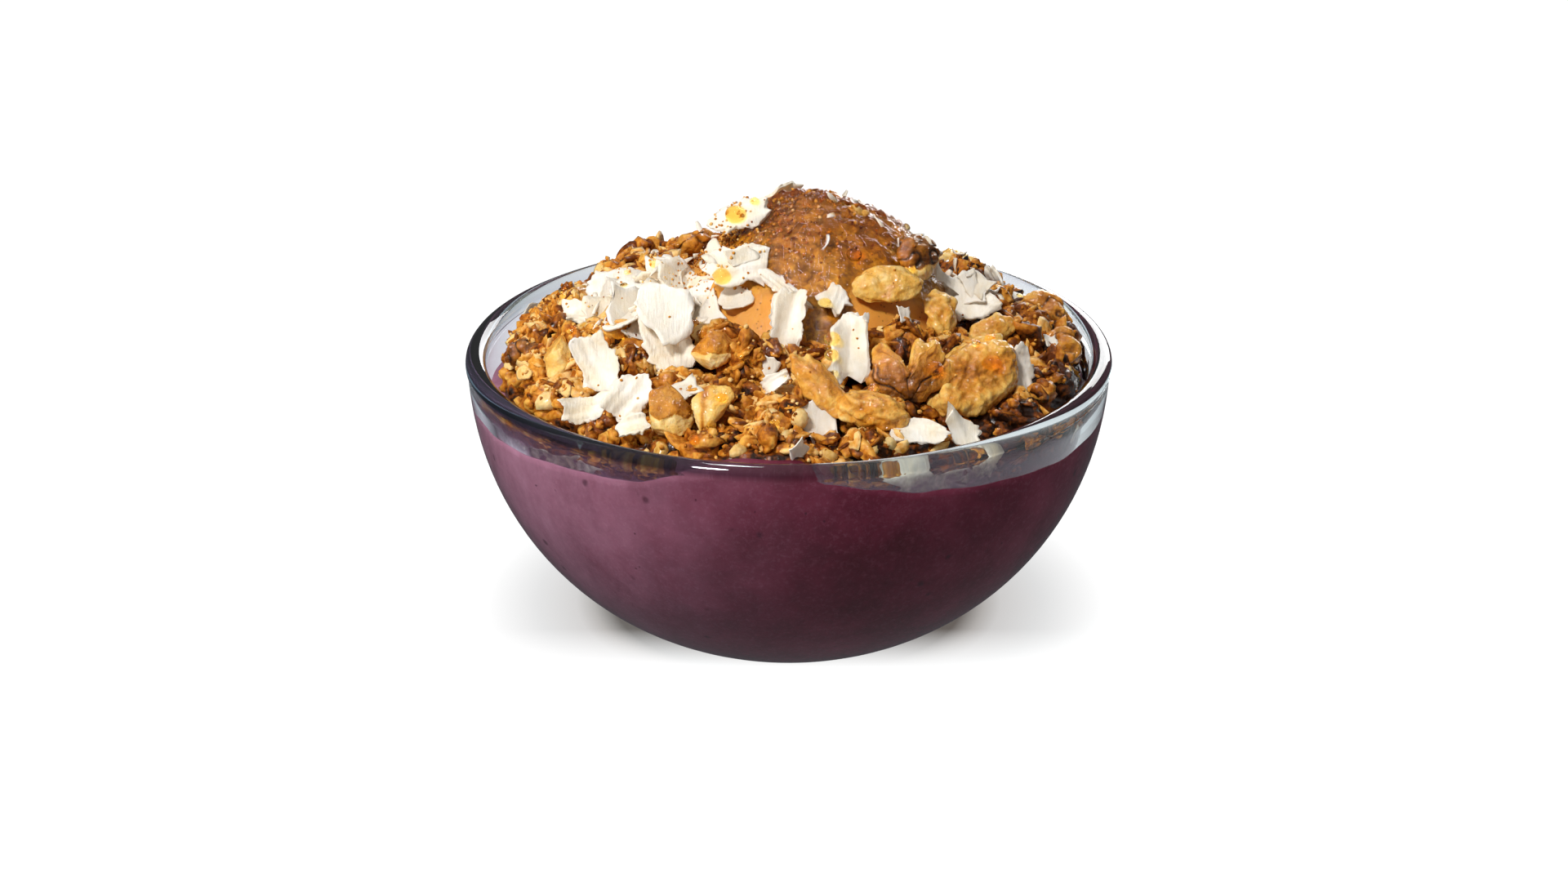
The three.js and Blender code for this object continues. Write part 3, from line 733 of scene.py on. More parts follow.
def makeBeads(material, tree):
    dice = random.Random(honeyBeads["seed"])
    bm = bmesh.new()
    spots = []
    for column, row, size in honeyBeads["seen"]:
        start, direction = sightLine(column, row)
        spot, normal, _, _ = tree.ray_cast(start, direction)
        if spot is not None:
            spots.append((spot, normal, size))
    while len(spots) < len(honeyBeads["seen"]) + honeyBeads["loose"]:
        spot, normal, _ = rain(dice, tree, honeyBeads["steep"], (0, 0), honeyBeads["spread"])
        if spot is not None and insideGlass(spot, 3):
            spots.append((spot, normal, dice.uniform(*honeyBeads["looseSize"])))
    for number, (spot, normal, size) in enumerate(spots):
        # each bead leans downhill and bulges at its foot
        away = (normal + Vector((0, 0, 0.25))).normalized()
        turn = away.to_track_quat("Z", "Y").to_matrix()
        for vertex in bmesh.ops.create_icosphere(bm, subdivisions=3, radius=0.5)["verts"]:
            x, y, z = vertex.co
            wide = 1 + 0.12 * grain(vertex.co, 0.6, number)
            shape = Vector((x * wide, y * wide * 0.9, z * honeyBeads["flatness"]))
            vertex.co = (spot + turn @ shape * size + normal * size * 0.12) * mm
    return finishPiece(bm, "honey_beads", material)


walnutSkin = {
    "levels": 3,
    "foldSize": 4.2,
    "fold": 0.9,  # height of the folds
    "lumpSize": 2.0,
    "lump": 0.4,
    "wrinkle": 0.12,
    "form": "half",  # half has folds like a brain's, fan has lobes and veins, plain has neither
    "broken": 0.0,  # how much of it, from its lower side, is a bare broken face
    "stretch": (1, 1, 1),  # along its length, breadth and thickness
    "spin": 0,  # degrees, in its own plane
    "shift": (0, 0, 0),
    "flats": 0,  # how many flat sides it broke along
    "taper": 0.0,  # how much narrower its lower end is
    "paintedGrooveShade": 0.0,  # how dark a line along it is, painted as the shade of a groove that is not modelled
    "puff": 0.6,  # how far the lobes of a fan stand out between its veins
    "notch": 0.0,  # depth of the cleft between its two middle lobes
    "hollow": 0.0,  # height of a raised rim round its middle
}
# tone: 0 cream, 0.3 golden, 0.5 tan, 0.7 caramel, 1 dark skin
walnuts = {
    "walnut_fan": {"tone": 0.74, "form": "fan", "lobes": 8, "levels": 4, "notch": 7.0,
                   "stretch": (1.05, 1, 0.8)},
    "walnut_half": {"tone": 0.42, "fold": 0.15, "lump": 0.45, "lumpSize": 1.5, "hollow": 1.1, "levels": 4,
                    "stretch": (1.15, 0.95, 1.0), "spin": -2, "shift": (0, 0, -1.2)},
    "walnut_wing": {"tone": 0.44, "form": "fan", "lobes": 7, "puff": 0.15, "stretch": (1, 0.85, 0.6),
                    "shift": (0, -1, -1.5)},
    "walnut_chip": {"tone": 0.19, "form": "plain", "lump": 0.25, "stretch": (1.02, 0.9, 0.8)},
    "walnut_ridge": {"tone": 0.35, "form": "plain", "lump": 0.5, "stretch": (1.12, 0.9, 0.9), "spin": -10},
    "walnut_knob": {"tone": 0.34, "fold": 0.25, "lump": 0.5, "lumpSize": 1.6, "stretch": (1.15, 0.9, 0.9)},
    "walnut_dark": {"tone": 0.78, "broken": 0.62},
    "walnut_yellow": {"tone": 0.24, "form": "plain", "lump": 0.6},
    "walnut_arch": {"tone": 0.3, "fold": 0.2, "lump": 0.5},
    "walnut_rim": {"tone": 0.5, "broken": 0.5},
    "walnut_side": {"tone": 0.55, "fold": 0.8, "broken": 0.2},
    "walnut_cube": {"tone": 0.5, "form": "plain", "lump": 0.35, "broken": 0.78, "flats": 4},
    "walnut_amber": {"tone": 0.56, "form": "plain", "lump": 0.5, "broken": 0.74, "flats": 5,
                     "stretch": (1, 1.2, 0.8)},
    "walnut_cream": {"tone": 0.1, "form": "plain", "lump": 0.1, "taper": 0.6, "paintedGrooveShade": 0.45,
                     "stretch": (1.05, 0.9, 0.6)},
    "walnut_lean": {"tone": 0.2, "form": "plain", "lump": 0.35, "flats": 3},
    "walnut_small": {"tone": 0.8},
    "walnut_back": {"tone": 0.12, "form": "plain", "flats": 3},
    "walnut_rear_half": {"tone": 0.44, "fold": 0.5},
    "walnut_rear_chip": {"tone": 0.2, "form": "plain", "flats": 2},
    "walnut_rear_knob": {"tone": 0.55, "broken": 0.2},
}


def refined(node, levels, sharp=None):
    # A merged and subdivided copy of a CAD node. Edges sharper than sharp degrees
    # keep their line.
    bm = bmesh.new()
    bm.from_mesh(node.data)
    bmesh.ops.remove_doubles(bm, verts=bm.verts[:], dist=0.02 * mm)
    bmesh.ops.join_triangles(
        bm, faces=bm.faces[:], angle_face_threshold=math.radians(25), angle_shape_threshold=math.radians(50))
    if sharp:
        crease = bm.edges.layers.float.new("crease_edge")
        for edge in bm.edges:
            if edge.calc_face_angle(0) > math.radians(sharp):
                edge[crease] = 0.75
    mesh = bpy.data.meshes.new("rough")
    bm.to_mesh(mesh)
    bm.free()
    rough = bpy.data.objects.new("rough", mesh)
    bpy.context.scene.collection.objects.link(rough)
    modifier = rough.modifiers.new("smoother", "SUBSURF")
    modifier.levels = levels
    modifier.render_levels = levels
    fine = bpy.data.meshes.new_from_object(rough.evaluated_get(bpy.context.evaluated_depsgraph_get()))
    bpy.data.objects.remove(rough)
    bpy.data.meshes.remove(mesh)
    bm = bmesh.new()
    bm.from_mesh(fine)
    bpy.data.meshes.remove(fine)
    return bm


def ownAxes(bm):
    # a shape's middle, its long, broad and thin directions and its half sizes, in mm
    points = np.array([vertex.co for vertex in bm.verts]) / mm
    middle = points.mean(axis=0)
    axes = np.linalg.svd(points - middle, full_matrices=False)[2]
    centre = Vector(middle)
    heapMiddle = Vector((butter["centre"].x, butter["centre"].y, 60))
    outward = (centre - heapMiddle).normalized()
    thin = Vector(axes[2])
    if thin.dot(outward) < 0:
        thin.negate()
    long = Vector(axes[0])
    if long.x < 0:
        long.negate()
    broad = thin.cross(long)
    halves = [np.abs((points - middle) @ np.array(axis)).max() for axis in (long, broad, thin)]
    return centre, (long, broad, thin), halves


def ridged(point, size, seed):
    # billowed noise: rounded tops near 1, and how deep a narrow valley is, from 0 to 1
    height = min(1, abs(grain(point, size, seed)) * 1.6)
    return height ** 0.7, bell(height, 0.16)


def fanForm(look, point, seed, along, across, lump):
    # lobes that spread from a hub low on the piece, parted by thin veins
    turn = math.atan2(across, along) + grain(point, 4, seed) * 0.16
    reach = math.hypot(across, along)
    wave = abs(math.sin(turn * look["lobes"] / 2))
    branch = abs(math.sin(turn * look["lobes"] + 2 * reach))
    vein = bell(wave, 0.12) * min(1, reach * 3)
    vein = max(vein, 0.6 * bell(branch, 0.2) * clamp(reach * 2 - 1), 0.9 - reach * 3)
    plateau = 1 - bell(wave, 0.2)
    cleft = look["notch"] * bell(turn, 0.2) * max(0, reach - 0.5)
    move = look["puff"] * ((plateau - 0.7) * min(1, reach * 1.4) + 0.6 * lump)
    # dark veins, paler towards the ends of the lobes, and paler on its lumps as a painted highlight
    tone = look["tone"] + 0.45 * vein - 0.42 * max(0, reach - 0.45) - 0.1 * lump
    return move, tone, cleft


def halfForm(look, point, seed, out, lump):
    # folds like a brain's, with a raised rim where the look has a hollow
    fold, valley = ridged(point, look["foldSize"], seed)
    move = look["fold"] * (fold - 0.6) + look["lump"] * lump
    # darker in the valleys between folds and paler on the tops of folds and lumps: painted shade and painted
    # highlight
    tone = look["tone"] + 0.35 * valley * min(1, look["fold"]) - 0.1 * look["fold"] * fold - 0.12 * lump
    if look["hollow"]:
        rim = bell(out - 0.72, 0.17)
        move += look["hollow"] * (rim - 0.8 * bell(out, 0.45))
        # darker in the hollow and paler on the raised rim round it: painted shade and painted highlight
        tone += 0.1 * bell(out, 0.5) - 0.16 * rim
    return move, tone


def makeWalnut(name, material, seed):
    look = {**walnutSkin, **walnuts[name]}
    bm = refined(cadNodes[name], look["levels"])
    centre, axes, halves = ownAxes(bm)
    bm.normal_update()
    down = (-up + axes[2] * axes[2].z).normalized()
    side = axes[2].cross(down)
    spin = Matrix.Rotation(math.radians(look["spin"]), 3, axes[2])
    dice = random.Random(seed)
    flats = []
    for _ in range(look["flats"]):
        flat = randomWay(dice).normalized()
        breadth = math.sqrt(sum((flat.dot(axis) * half) ** 2 for axis, half in zip(axes, halves)))
        flats.append((flat, breadth * dice.uniform(0.55, 0.75)))
    tints = []
    places = []
    for vertex in bm.verts:
        point = vertex.co / mm
        inward = point - centre
        lump = grain(point, look["lumpSize"], seed + 3)
        cleft = 0
        if look["form"] == "fan":
            along = 0.75 - inward.dot(down) / halves[0]
            across = inward.dot(side) / halves[0]
            move, tone, cleft = fanForm(look, point, seed, along, across, lump)
        elif look["form"] == "half":
            out = math.hypot(inward.dot(axes[0]) / halves[0], inward.dot(axes[1]) / halves[1])
            move, tone = halfForm(look, point, seed, out, lump)
        else:
            move = look["lump"] * lump + grain(point, 3.5, seed + 5) * 0.35
            # paler on its lumps: painted highlight
            tone = look["tone"] - 0.08 * lump
        tone += 0.12 * grain(point, 5, seed + 2)
        low = -point.z + centre.z + grain(point, 3, seed + 7) * 1.2
        # pale and smoother where it broke
        if look["broken"] and low > halves[1] * (1.1 - 1.6 * look["broken"]):
            tone = 0.06 + 0.06 * grain(point, 1.5, seed)
            move = grain(point, 1.6, seed + 9) * 0.3
        move += grain(point, 0.8, seed + 1) * look["wrinkle"]
        offset = point + vertex.normal * move + down * cleft - centre
        for flat, depth in flats:
            offset -= flat * max(0, offset.dot(flat) - depth) * 0.85
        if look["taper"]:
            across = offset.dot(side)
            offset -= side * across * look["taper"] * clamp(0.4 + offset.dot(down) / halves[0])
            # a dark line along it: painted shade of a groove
            tone += look["paintedGrooveShade"] * bell(across / halves[1] + 0.15, 0.16)
        stretched = [axis * offset.dot(axis) * scale for axis, scale in zip(axes, look["stretch"])]
        places.append((centre + Vector(look["shift"]) + spin @ sum(stretched, Vector())) * mm)
        tints.append(clamp(tone))
    for vertex, place in zip(bm.verts, places):
        vertex.co = place
    setTint(bm, tints)
    return finishPiece(bm, name.replace("walnut", "kernel"), material, [name])


coconutFlakes = {
    "levels": 3,
    "sharp": 50,  # edges past this many degrees keep their line
    "ragged": 1.0,  # how far the edges are torn
    "ripple": 0.55,  # height of the folds along it
    # how far they curl along and across
    "bow": 2.0,
    "trough": 1.3,
    "twist": 24,  # degrees from the middle to an end
    # some lie a little away from their solids
    "moved": {"coconut_blade": (-1.5, 1.5, -4.5), "coconut_flap": (-1, 2, -2.5)},
}


def makeFlake(name, material, seed):
    bm = refined(cadNodes[name], coconutFlakes["levels"], coconutFlakes["sharp"])
    centre, axes, halves = ownAxes(bm)
    tints = []
    tone = 0.05 + 0.2 * abs(grain((seed * 3.1, 0, 0), 1))
    moved = Vector(coconutFlakes["moved"].get(name, (0, 0, 0)))
    bow = coconutFlakes["bow"] * math.sin(seed * 2.4)
    trough = coconutFlakes["trough"] * math.cos(seed * 1.7)
    twist = math.radians(coconutFlakes["twist"]) * math.sin(seed * 3.7)
    for vertex in bm.verts:
        point = vertex.co / mm
        offset = point - centre
        local = [offset.dot(axis) / half for axis, half in zip(axes, halves)]
        # torn at its edges
        edge = min(1.0, max(abs(local[0]), abs(local[1]))) ** 3
        tear = grain(point, 0.9, seed) * 0.7 + grain(point, 2.6, seed + 4)
        inPlane = offset - axes[2] * offset.dot(axes[2])
        if inPlane.length > 0.1:
            point -= inPlane.normalized() * (tear * coconutFlakes["ragged"] * edge)
        # curled, folded and twisted
        curl = bow * (local[0] ** 2 - 0.35) + trough * (local[1] ** 2 - 0.35)
        folds = grain((local[0] * 1.2, local[1] * 4.5, 0), 1.6, seed + 2)
        point += axes[2] * (folds * coconutFlakes["ripple"] + curl)
        turned = Matrix.Rotation(twist * local[0], 3, axes[0]) @ (point - centre)
        vertex.co = (centre + turned + moved) * mm
        tints.append(tone + 0.12 * grain(point, 4, seed) + 0.12 * edge * abs(grain(point, 1.5, seed)))
    setTint(bm, tints)
    bmesh.ops.recalc_face_normals(bm, faces=bm.faces[:])
    return finishPiece(bm, name.replace("coconut", "flake"), material, [name])


granola = {
    # radius of its edge at the glass, by compass angle
    "edge": [(0, 67.5), (60, 66.5), (110, 66), (140, 65), (172, 66), (185, 66.3), (205, 66.3),
             (222, 66.2), (236, 66.2), (250, 66.8), (270, 67.4), (290, 68.8), (330, 68.8)],
    # how much higher than its solid it is heaped against the glass, by compass angle
    "bank": [(0, 2), (15, -2), (30, -10), (70, -11), (90, -7), (105, -6), (150, -5.5), (168, -1),
             (180, 1), (195, 1), (230, 0), (300, 0), (330, 1)],
    "sink": 4.4,  # how far the core lies under the heap's outline
    "shoulder": 58,  # height where the core turns under at the glass
    "bottom": 50.5,
    "clearance": 0.8,  # between the core and the puree or the glass
    "around": 220,
    "rings": 110,
    "seed": 11,
    "clusters": 140,
    "clusterSize": (4.4, 8.6),
    "clusterSpread": 66,
    "spacing": 8.0,
    "nodule": 3.2,  # breadth of the rounded bumps of a cluster
    "clusterTries": 9000,
    # how high clusters and loose pieces may reach at the glass
    "clusterTop": 62.5,
    "looseTop": 64,
    # each kind's colours from dark to pale, and how much its sticky patches shine
    "oat": ([(0.0, "#602c08"), (0.3, "#ac6418"), (0.6, "#da9638"), (0.95, "#f0c680")], 0.5),
    "crisp": ([(0.0, "#240e02"), (0.3, "#84420c"), (0.6, "#c27620"), (1.0, "#e6aa4c")], 0.9),
    "nut": ([(0.0, "#a8661a"), (0.5, "#d0a04c"), (1.0, "#eacb8c")], 0.8),
}


def granolaReach(x, y):
    return between(granola["edge"], math.atan2(y, x))


def bankAt(x, y):
    return between(granola["bank"], math.atan2(y, x)) * min(1, math.hypot(x, y) / innerRadius) ** 4


def template(bm, shades=None):
    # arrays of a small shape, which is copied many times
    bmesh.ops.triangulate(bm, faces=bm.faces[:])
    coords = np.array([vertex.co for vertex in bm.verts])
    corners = np.array([[vertex.index for vertex in face.verts] for face in bm.faces])
    bm.free()
    return coords, corners, np.array(shades or [0.0] * len(coords))


def joinCopies(name, placings, material):
    # one piece from many placed copies: (template, matrix in mm, tint)
    coords = []
    corners = []
    tints = []
    start = 0
    for (points, faces, shades), matrix, tint in placings:
        placed = points @ np.array(matrix.to_3x3()).T + np.array(matrix.translation)
        coords.append(placed * mm)
        corners.append(faces + start)
        tints.append(shades + tint)
        start += len(points)
    mesh = bpy.data.meshes.new(name)
    mesh.from_pydata(np.concatenate(coords).tolist(), [], np.concatenate(corners).tolist())
    mesh.attributes.new("tint", "FLOAT", "POINT").data.foreach_set("value", np.concatenate(tints))
    return finishMesh(mesh, name, material)


def oatShape(dice):
    # a rolled oat of unit length: an uneven, cupped disc, creased along, with a pale rim
    bm = bmesh.new()
    bmesh.ops.create_uvsphere(bm, u_segments=10, v_segments=4, radius=0.5)
    phases = [dice.uniform(0, 6.3) for _ in range(3)]
    cup = dice.uniform(-0.3, 0.5)
    breadth = dice.uniform(0.55, 0.8)
    shades = []
    for vertex in bm.verts:
        turn = math.atan2(vertex.co.y, vertex.co.x)
        rim = 1 + 0.12 * math.sin(2 * turn + phases[0]) + 0.1 * math.sin(3 * turn + phases[1])
        rim += 0.07 * math.sin(5 * turn + phases[2])
        x = vertex.co.x * rim
        y = vertex.co.y * rim * breadth
        z = vertex.co.z * 0.24 + cup * (x * x + y * y) - 0.05 * bell(y, 0.07)
        shades.append(0.3 * (math.hypot(x, y) * 2) ** 3 - 0.1)
        vertex.co = (x, y, z + 0.2 * x * y * math.sin(phases[0]))
    return template(bm, shades)


def crispShape(dice):
    # a crumb of crisp of unit size: a knobbly ball, broken flat on some sides
    bm = bmesh.new()
    bmesh.ops.create_icosphere(bm, subdivisions=2, radius=0.5)
    seed = dice.uniform(0, 50)
    stretch = Vector((dice.uniform(0.9, 1.4), dice.uniform(0.75, 1.0), dice.uniform(0.5, 0.85)))
    flats = [randomWay(dice).normalized() for _ in range(3)]
    shades = []
    for vertex in bm.verts:
        swell = 0.45 * grain(vertex.co, 0.5, seed) + 0.2 * grain(vertex.co, 0.2, seed)
        # the tint follows the bumps, paler on the knobs and darker between them: painted shade
        shades.append(swell)
        point = vertex.co * (1 + swell)
        for side in flats:
            point -= side * max(0, point.dot(side) - 0.3)
        vertex.co = point * stretch
    return template(bm, shades)


def chunkShape(dice):
    # a broken nut of unit size: a ball cut flat on a few sides
    bm = bmesh.new()
    bmesh.ops.create_icosphere(bm, subdivisions=2, radius=0.5)
    for _ in range(4):
        side = randomWay(dice).normalized()
        depth = dice.uniform(0.2, 0.36)
        for vertex in bm.verts:
            vertex.co -= side * max(0, vertex.co.dot(side) - depth)
    return template(bm)


def crumbShape(dice):
    # a grain of unit size, knocked out of round
    bm = bmesh.new()
    bmesh.ops.create_icosphere(bm, subdivisions=1, radius=0.5)
    for vertex in bm.verts:
        vertex.co *= dice.uniform(0.6, 1.2)
    return template(bm)


def shredShape(dice):
    # a shred of coconut of unit length: a thin curved strip
    bm = bmesh.new()
    bmesh.ops.create_cube(bm, size=1)
    lengthwise = [edge for edge in bm.edges if abs(edge.verts[0].co.x - edge.verts[1].co.x) > 0.5]
    bmesh.ops.subdivide_edges(bm, edges=lengthwise, cuts=4)
    bend = dice.uniform(-0.9, 0.9)
    breadth = dice.uniform(0.16, 0.4)
    for vertex in bm.verts:
        x, y, z = vertex.co
        narrow = 1 - 0.7 * abs(2 * x) ** 2.5 * dice.uniform(0.6, 1.1)
        vertex.co = (x, y * breadth * narrow + 0.25 * bend * x * x, z * 0.07 + bend * x * x + 0.2 * x * y)
    return template(bm)


def lying(spot, normal, dice, size, tilt):
    # matrix that lays a shape of unit size on a surface, turned and tilted at random
    away = (normal + randomWay(dice) * tilt).normalized()
    turn = away.to_track_quat("Z", "Y").to_matrix().to_4x4()
    spin = Matrix.Rotation(dice.uniform(0, fullTurn), 4, "Z")
    return Matrix.Translation(spot) @ turn @ spin @ Matrix.Scale(size, 4)


def makeCore(material):
    heap = treeOf([cadNodes["granola_heap"]])
    topShare = 0.8  # share of the skin that is its top
    clearance = granola["clearance"]

    def place(angle, share):
        edge = between(granola["edge"], angle)
        if share <= topShare:
            reach = edge * share / topShare
            x = reach * math.cos(angle)
            y = reach * math.sin(angle)
            hit = heap.ray_cast(Vector((x * 0.995, y * 0.995, 200)), -up)[0]
            outline = (hit.z if hit else 61) + bankAt(x, y)
            height = max(outline - granola["sink"], pureeTop(x, y) + clearance)
            height += grain((x, y, 0), 4.5, 1) * 0.9 + grain((x, y, 0), 1.8, 2) * 0.4
            return Vector((x, y, height))
        down = (share - topShare) / (1 - topShare)
        if down < 0.5:
            height = granola["shoulder"] + (granola["bottom"] - granola["shoulder"]) * down * 2
            reach = min(edge, innerReach(height) - clearance) + 0.3 * grain((angle * 20, height, 0), 3)
        else:
            height = granola["bottom"]
            reach = min(edge, innerReach(height) - clearance) * (1 - down) * 2
        return polar(reach, angle, height)

    bm = skin(granola["around"], granola["rings"], place)
    setTint(bm, [0.1 + 0.2 * grain(vertex.co / mm, 3, 4) for vertex in bm.verts])
    return finishPiece(bm, "granola_core", material, ["granola_heap"])


def clusterSpots(dice, toppings, heap):
    # where clusters of granola lie, clear of each other and of the larger toppings
    spots = []
    middle = Vector((butter["centre"].x, butter["centre"].y, 0))
    for _ in range(granola["clusterTries"]):
        if len(spots) == granola["clusters"]:
            break
        turn = dice.uniform(0, fullTurn)
        reach = granola["clusterSpread"] * math.sqrt(dice.uniform(0.1, 1))
        size = dice.uniform(*granola["clusterSize"])
        spot = polar(reach, turn, 0)
        if (spot - middle).length < butter["radius"] + 0.25 * size:
            continue
        if any((spot - Vector((s.x, s.y, 0))).length < granola["spacing"] for s, _ in spots):
            continue
        hit = heap.ray_cast(spot + up * 200, -up)[0]
        if hit is None:
            continue
        spot.z = hit.z + bankAt(spot.x, spot.y) - dice.uniform(0.05, 0.35) * size
        # sinks until it clears the pieces that lie on the heap
        for _ in range(8):
            near, normal, _, gap = toppings.find_nearest(spot)
            if gap > 0.8 * size and (spot - near).dot(normal) > 0:
                break
            spot.z -= 0.8
        wall = granolaReach(spot.x, spot.y) - 0.9 * size
        if math.hypot(spot.x, spot.y) > wall:
            scale = wall / math.hypot(spot.x, spot.y)
            spot.x *= scale
            spot.y *= scale
        # near the glass it stays under the rim
        toGlass = innerRadius - math.hypot(spot.x, spot.y)
        ceiling = granola["clusterTop"] + 0.8 * toGlass - 0.8 * size
        spot.z = min(spot.z, ceiling + min(0, bankAt(spot.x, spot.y)))
        spots.append((spot, size))
    return spots


def makeClusters(material, toppings, heap):
    dice = random.Random(granola["seed"])
    spots = clusterSpots(dice, toppings, heap)
    joined = bmesh.new()
    tintLayer = joined.verts.layers.float.new("tint")
    for number, (spot, size) in enumerate(spots):
        made = bmesh.ops.create_icosphere(joined, subdivisions=4, radius=1)["verts"]
        spin = dice.uniform(0, 6.3)
        turn = Matrix.Rotation(spin, 3, randomWay(dice).normalized())
        stretch = Vector((dice.uniform(0.85, 1.3), dice.uniform(0.75, 1.05), dice.uniform(0.65, 0.9)))
        tone = dice.uniform(0.2, 0.65)
        for vertex in made:
            bulge = 0.32 * grain(vertex.co, 0.9, number) + 0.2 * grain(vertex.co, 0.4, number + 0.5)
            # rounded nodules with creases between them
            near = noise.voronoi(vertex.co * size / granola["nodule"] + Vector((number, 0, 0)))[0][0]
            nodule = 2.3 / size * (0.45 - near)
            shape = turn @ (vertex.co * (0.9 + bulge + nodule))
            vertex.co = (spot + shape * stretch * size) * mm
            # paler on bulges and the middles of nodules, darker in the creases between them: painted shade
            vertex[tintLayer] = tone + 0.4 * bulge + 0.7 * (0.4 - near)
    return finishPiece(joined, "granola_clusters", material)


def makeLump(material):
    # the large lump at the back rim
    bm = refined(cadNodes["granola_lump"], 3)
    setTint(bm, [0.4 + 0.3 * grain(vertex.co / mm, 3, 4) for vertex in bm.verts])
    return finishPiece(bm, "granola_lump_core", material, ["granola_lump"])


def rain(dice, tree, steep, middle, spread):
    # where a random ray meets the heap, from up to steep degrees off the upright
    aimHeight = 74
    startAway = 80
    for _ in range(50):
        turn = dice.uniform(0, fullTurn)
        reach = spread * math.sqrt(dice.random())
        target = Vector((middle[0] + reach * math.cos(turn), middle[1] + reach * math.sin(turn), aimHeight))
        lean = math.radians(steep) * dice.random()
        compass = dice.uniform(0, fullTurn)
        away = polar(math.sin(lean), compass, math.cos(lean))
        spot, normal, index, _ = tree.ray_cast(target + away * startAway, -away)
        if spot is not None and normal.dot(away) > 0:
            return spot, normal, index
    return None, None, 0


def insideGlass(spot, margin):
    # true where a thing of that half size stays clear of the glass and under the rim
    reach = math.hypot(spot.x, spot.y)
    level = min(granola["looseTop"] + 0.5, max(10, spot.z))
    if reach > min(granolaReach(spot.x, spot.y) + granola["clearance"], innerReach(level)) - margin:
        return False
    return spot.z < granola["looseTop"] + 0.8 * (innerRadius - reach)


def scatter(look, shapes, tree, material, avoid=None, bedFaces=None):
    # Copies of some shapes, dropped on the heap. Each patch is a middle, a spread, a
    # count and the smallest and largest size. avoid is kept clear of, and only the
    # first bedFaces faces of the tree are dropped on.
    dice = random.Random(look["seed"])
    placings = []
    for middle, spread, count, low, high in look["patches"]:
        wanted = len(placings) + count
        for _ in range(count * 6):
            if len(placings) == wanted:
                break
            spot, normal, index = rain(dice, tree, look["steep"], middle, spread)
            size = dice.uniform(low, high)
            if spot is None or bedFaces and index >= bedFaces:
                continue
            if spot.z > look.get("ceiling", 200) or not insideGlass(spot, size * look["half"]):
                continue
            if avoid and avoid.find_nearest(spot)[3] < look["clear"]:
                continue
            away = (normal + look["lean"]).normalized() if "lean" in look else normal
            tilt = look["tilt"] * (2.5 if dice.random() < 0.2 else 1)  # a few lie askew
            lift = look["lift"] + look.get("pile", 0) * dice.random()
            matrix = lying(spot + away * size * lift, away, dice, size, tilt)
            placings.append((dice.choice(shapes), matrix, dice.uniform(*look["tints"])))
    for column, row, size in look.get("seen", ()):
        start, direction = sightLine(column, row)
        spot, normal, _, _ = tree.ray_cast(start, direction)
        if spot is not None:
            away = (normal - direction * 0.4).normalized()
            matrix = lying(spot + away * size * abs(look["lift"]), away, dice, size, 0.1)
            placings.append((dice.choice(shapes), matrix, dice.uniform(*look["tints"])))
    return joinCopies(look["name"], placings, material)


# What is strewn over the heap. half is how much of its size each piece keeps from the
# glass, clear how far it keeps from large toppings, lift how high it lies in its bed,
# both tilt and lift in shares of its size, and tints run from dark to pale.
oats = {
    "name": "granola_oats", "seed": 5,
    "patches": [((0, 0), 68, 1350, 4.8, 8.2)],
    "steep": 60, "half": 0.42, "clear": 0.6, "tilt": 0.3, "lift": 0.03, "tints": (0.0, 1.0),
}
crisps = {
    "name": "granola_crisps", "seed": 6,
    "patches": [((0, 0), 68, 260, 4.6, 7.5), ((0, 0), 68, 1400, 1.8, 4.6)],
    "steep": 60, "half": 0.42, "clear": 0.4, "tilt": 1.0, "lift": -0.05, "tints": (0.1, 0.8),
}
granules = {
    "name": "granola_grains", "seed": 8,
    "patches": [((0, 0), 69, 1100, 0.6, 1.5)],
    "steep": 60, "half": 0.5, "clear": 0.3, "tilt": 1.0, "lift": 0.1, "tints": (0.15, 1.0),
}
choppedNuts = {
    "name": "chopped_nuts", "seed": 7,
    "patches": [((0, 0), 66, 90, 2.4, 4.8)],
    # single ones by where they show in the frame: column, row, length
    "seen": [(673, 495, 6.5), (985, 238, 4), (1003, 234, 5), (1016, 239, 4.5), (1032, 250, 4),
             (1046, 262, 4.5), (1058, 268, 4)],
    "steep": 60, "half": 0.5, "clear": 0.4, "tilt": 1.0, "lift": -0.08, "tints": (0.0, 1.0),
}
coconutBits = {
    "name": "coconut_bits", "seed": 31,
    "patches": [
        ((-31, -11), 12.5, 24, 8.5, 14.0), ((-15, -10), 7, 5, 6.0, 9.0), ((43, -1), 7, 8, 7.0, 11.0),
        ((0, 34), 34, 8, 4.0, 8.0), ((10, 40), 20, 12, 6.0, 12.0)],
    "seen": [(1061, 388, 3.2), (1107, 385, 4), (978, 549, 5), (938, 452, 6), (836, 478, 9), (905, 315, 7),
             (872, 372, 7), (1286, 418, 4)],
    "ceiling": 90,  # none lies higher than this
    "pile": 0.14,  # how much higher some lie, on others
    "lean": Vector((0, -0.35, 0.5)),
    "steep": 45, "half": 0.4, "tilt": 0.2, "lift": 0.04, "tints": (0.0, 0.25),
}
coconutShreds = {
    "name": "coconut_shreds", "seed": 37,
    "patches": [((-30, -4), 22, 34, 2.5, 6.0), ((40, 2), 14, 16, 2.5, 6.0), ((10, 24), 36, 30, 2.5, 6.0)],
    "steep": 60, "half": 0.4, "tilt": 0.4, "lift": 0.06, "tints": (0.0, 0.3),
}
crumbs = {
    "name": "crumbs", "seed": 53,
    "patches": [
        ((-30, -4), 20, 220, 0.35, 0.75), ((-10, -2), 12, 260, 0.4, 1.0), ((0, 0), 64, 320, 0.3, 0.9)],
    "steep": 50, "half": 1.5, "tilt": 1, "lift": 0.1, "tints": (0.3, 1.0),
}
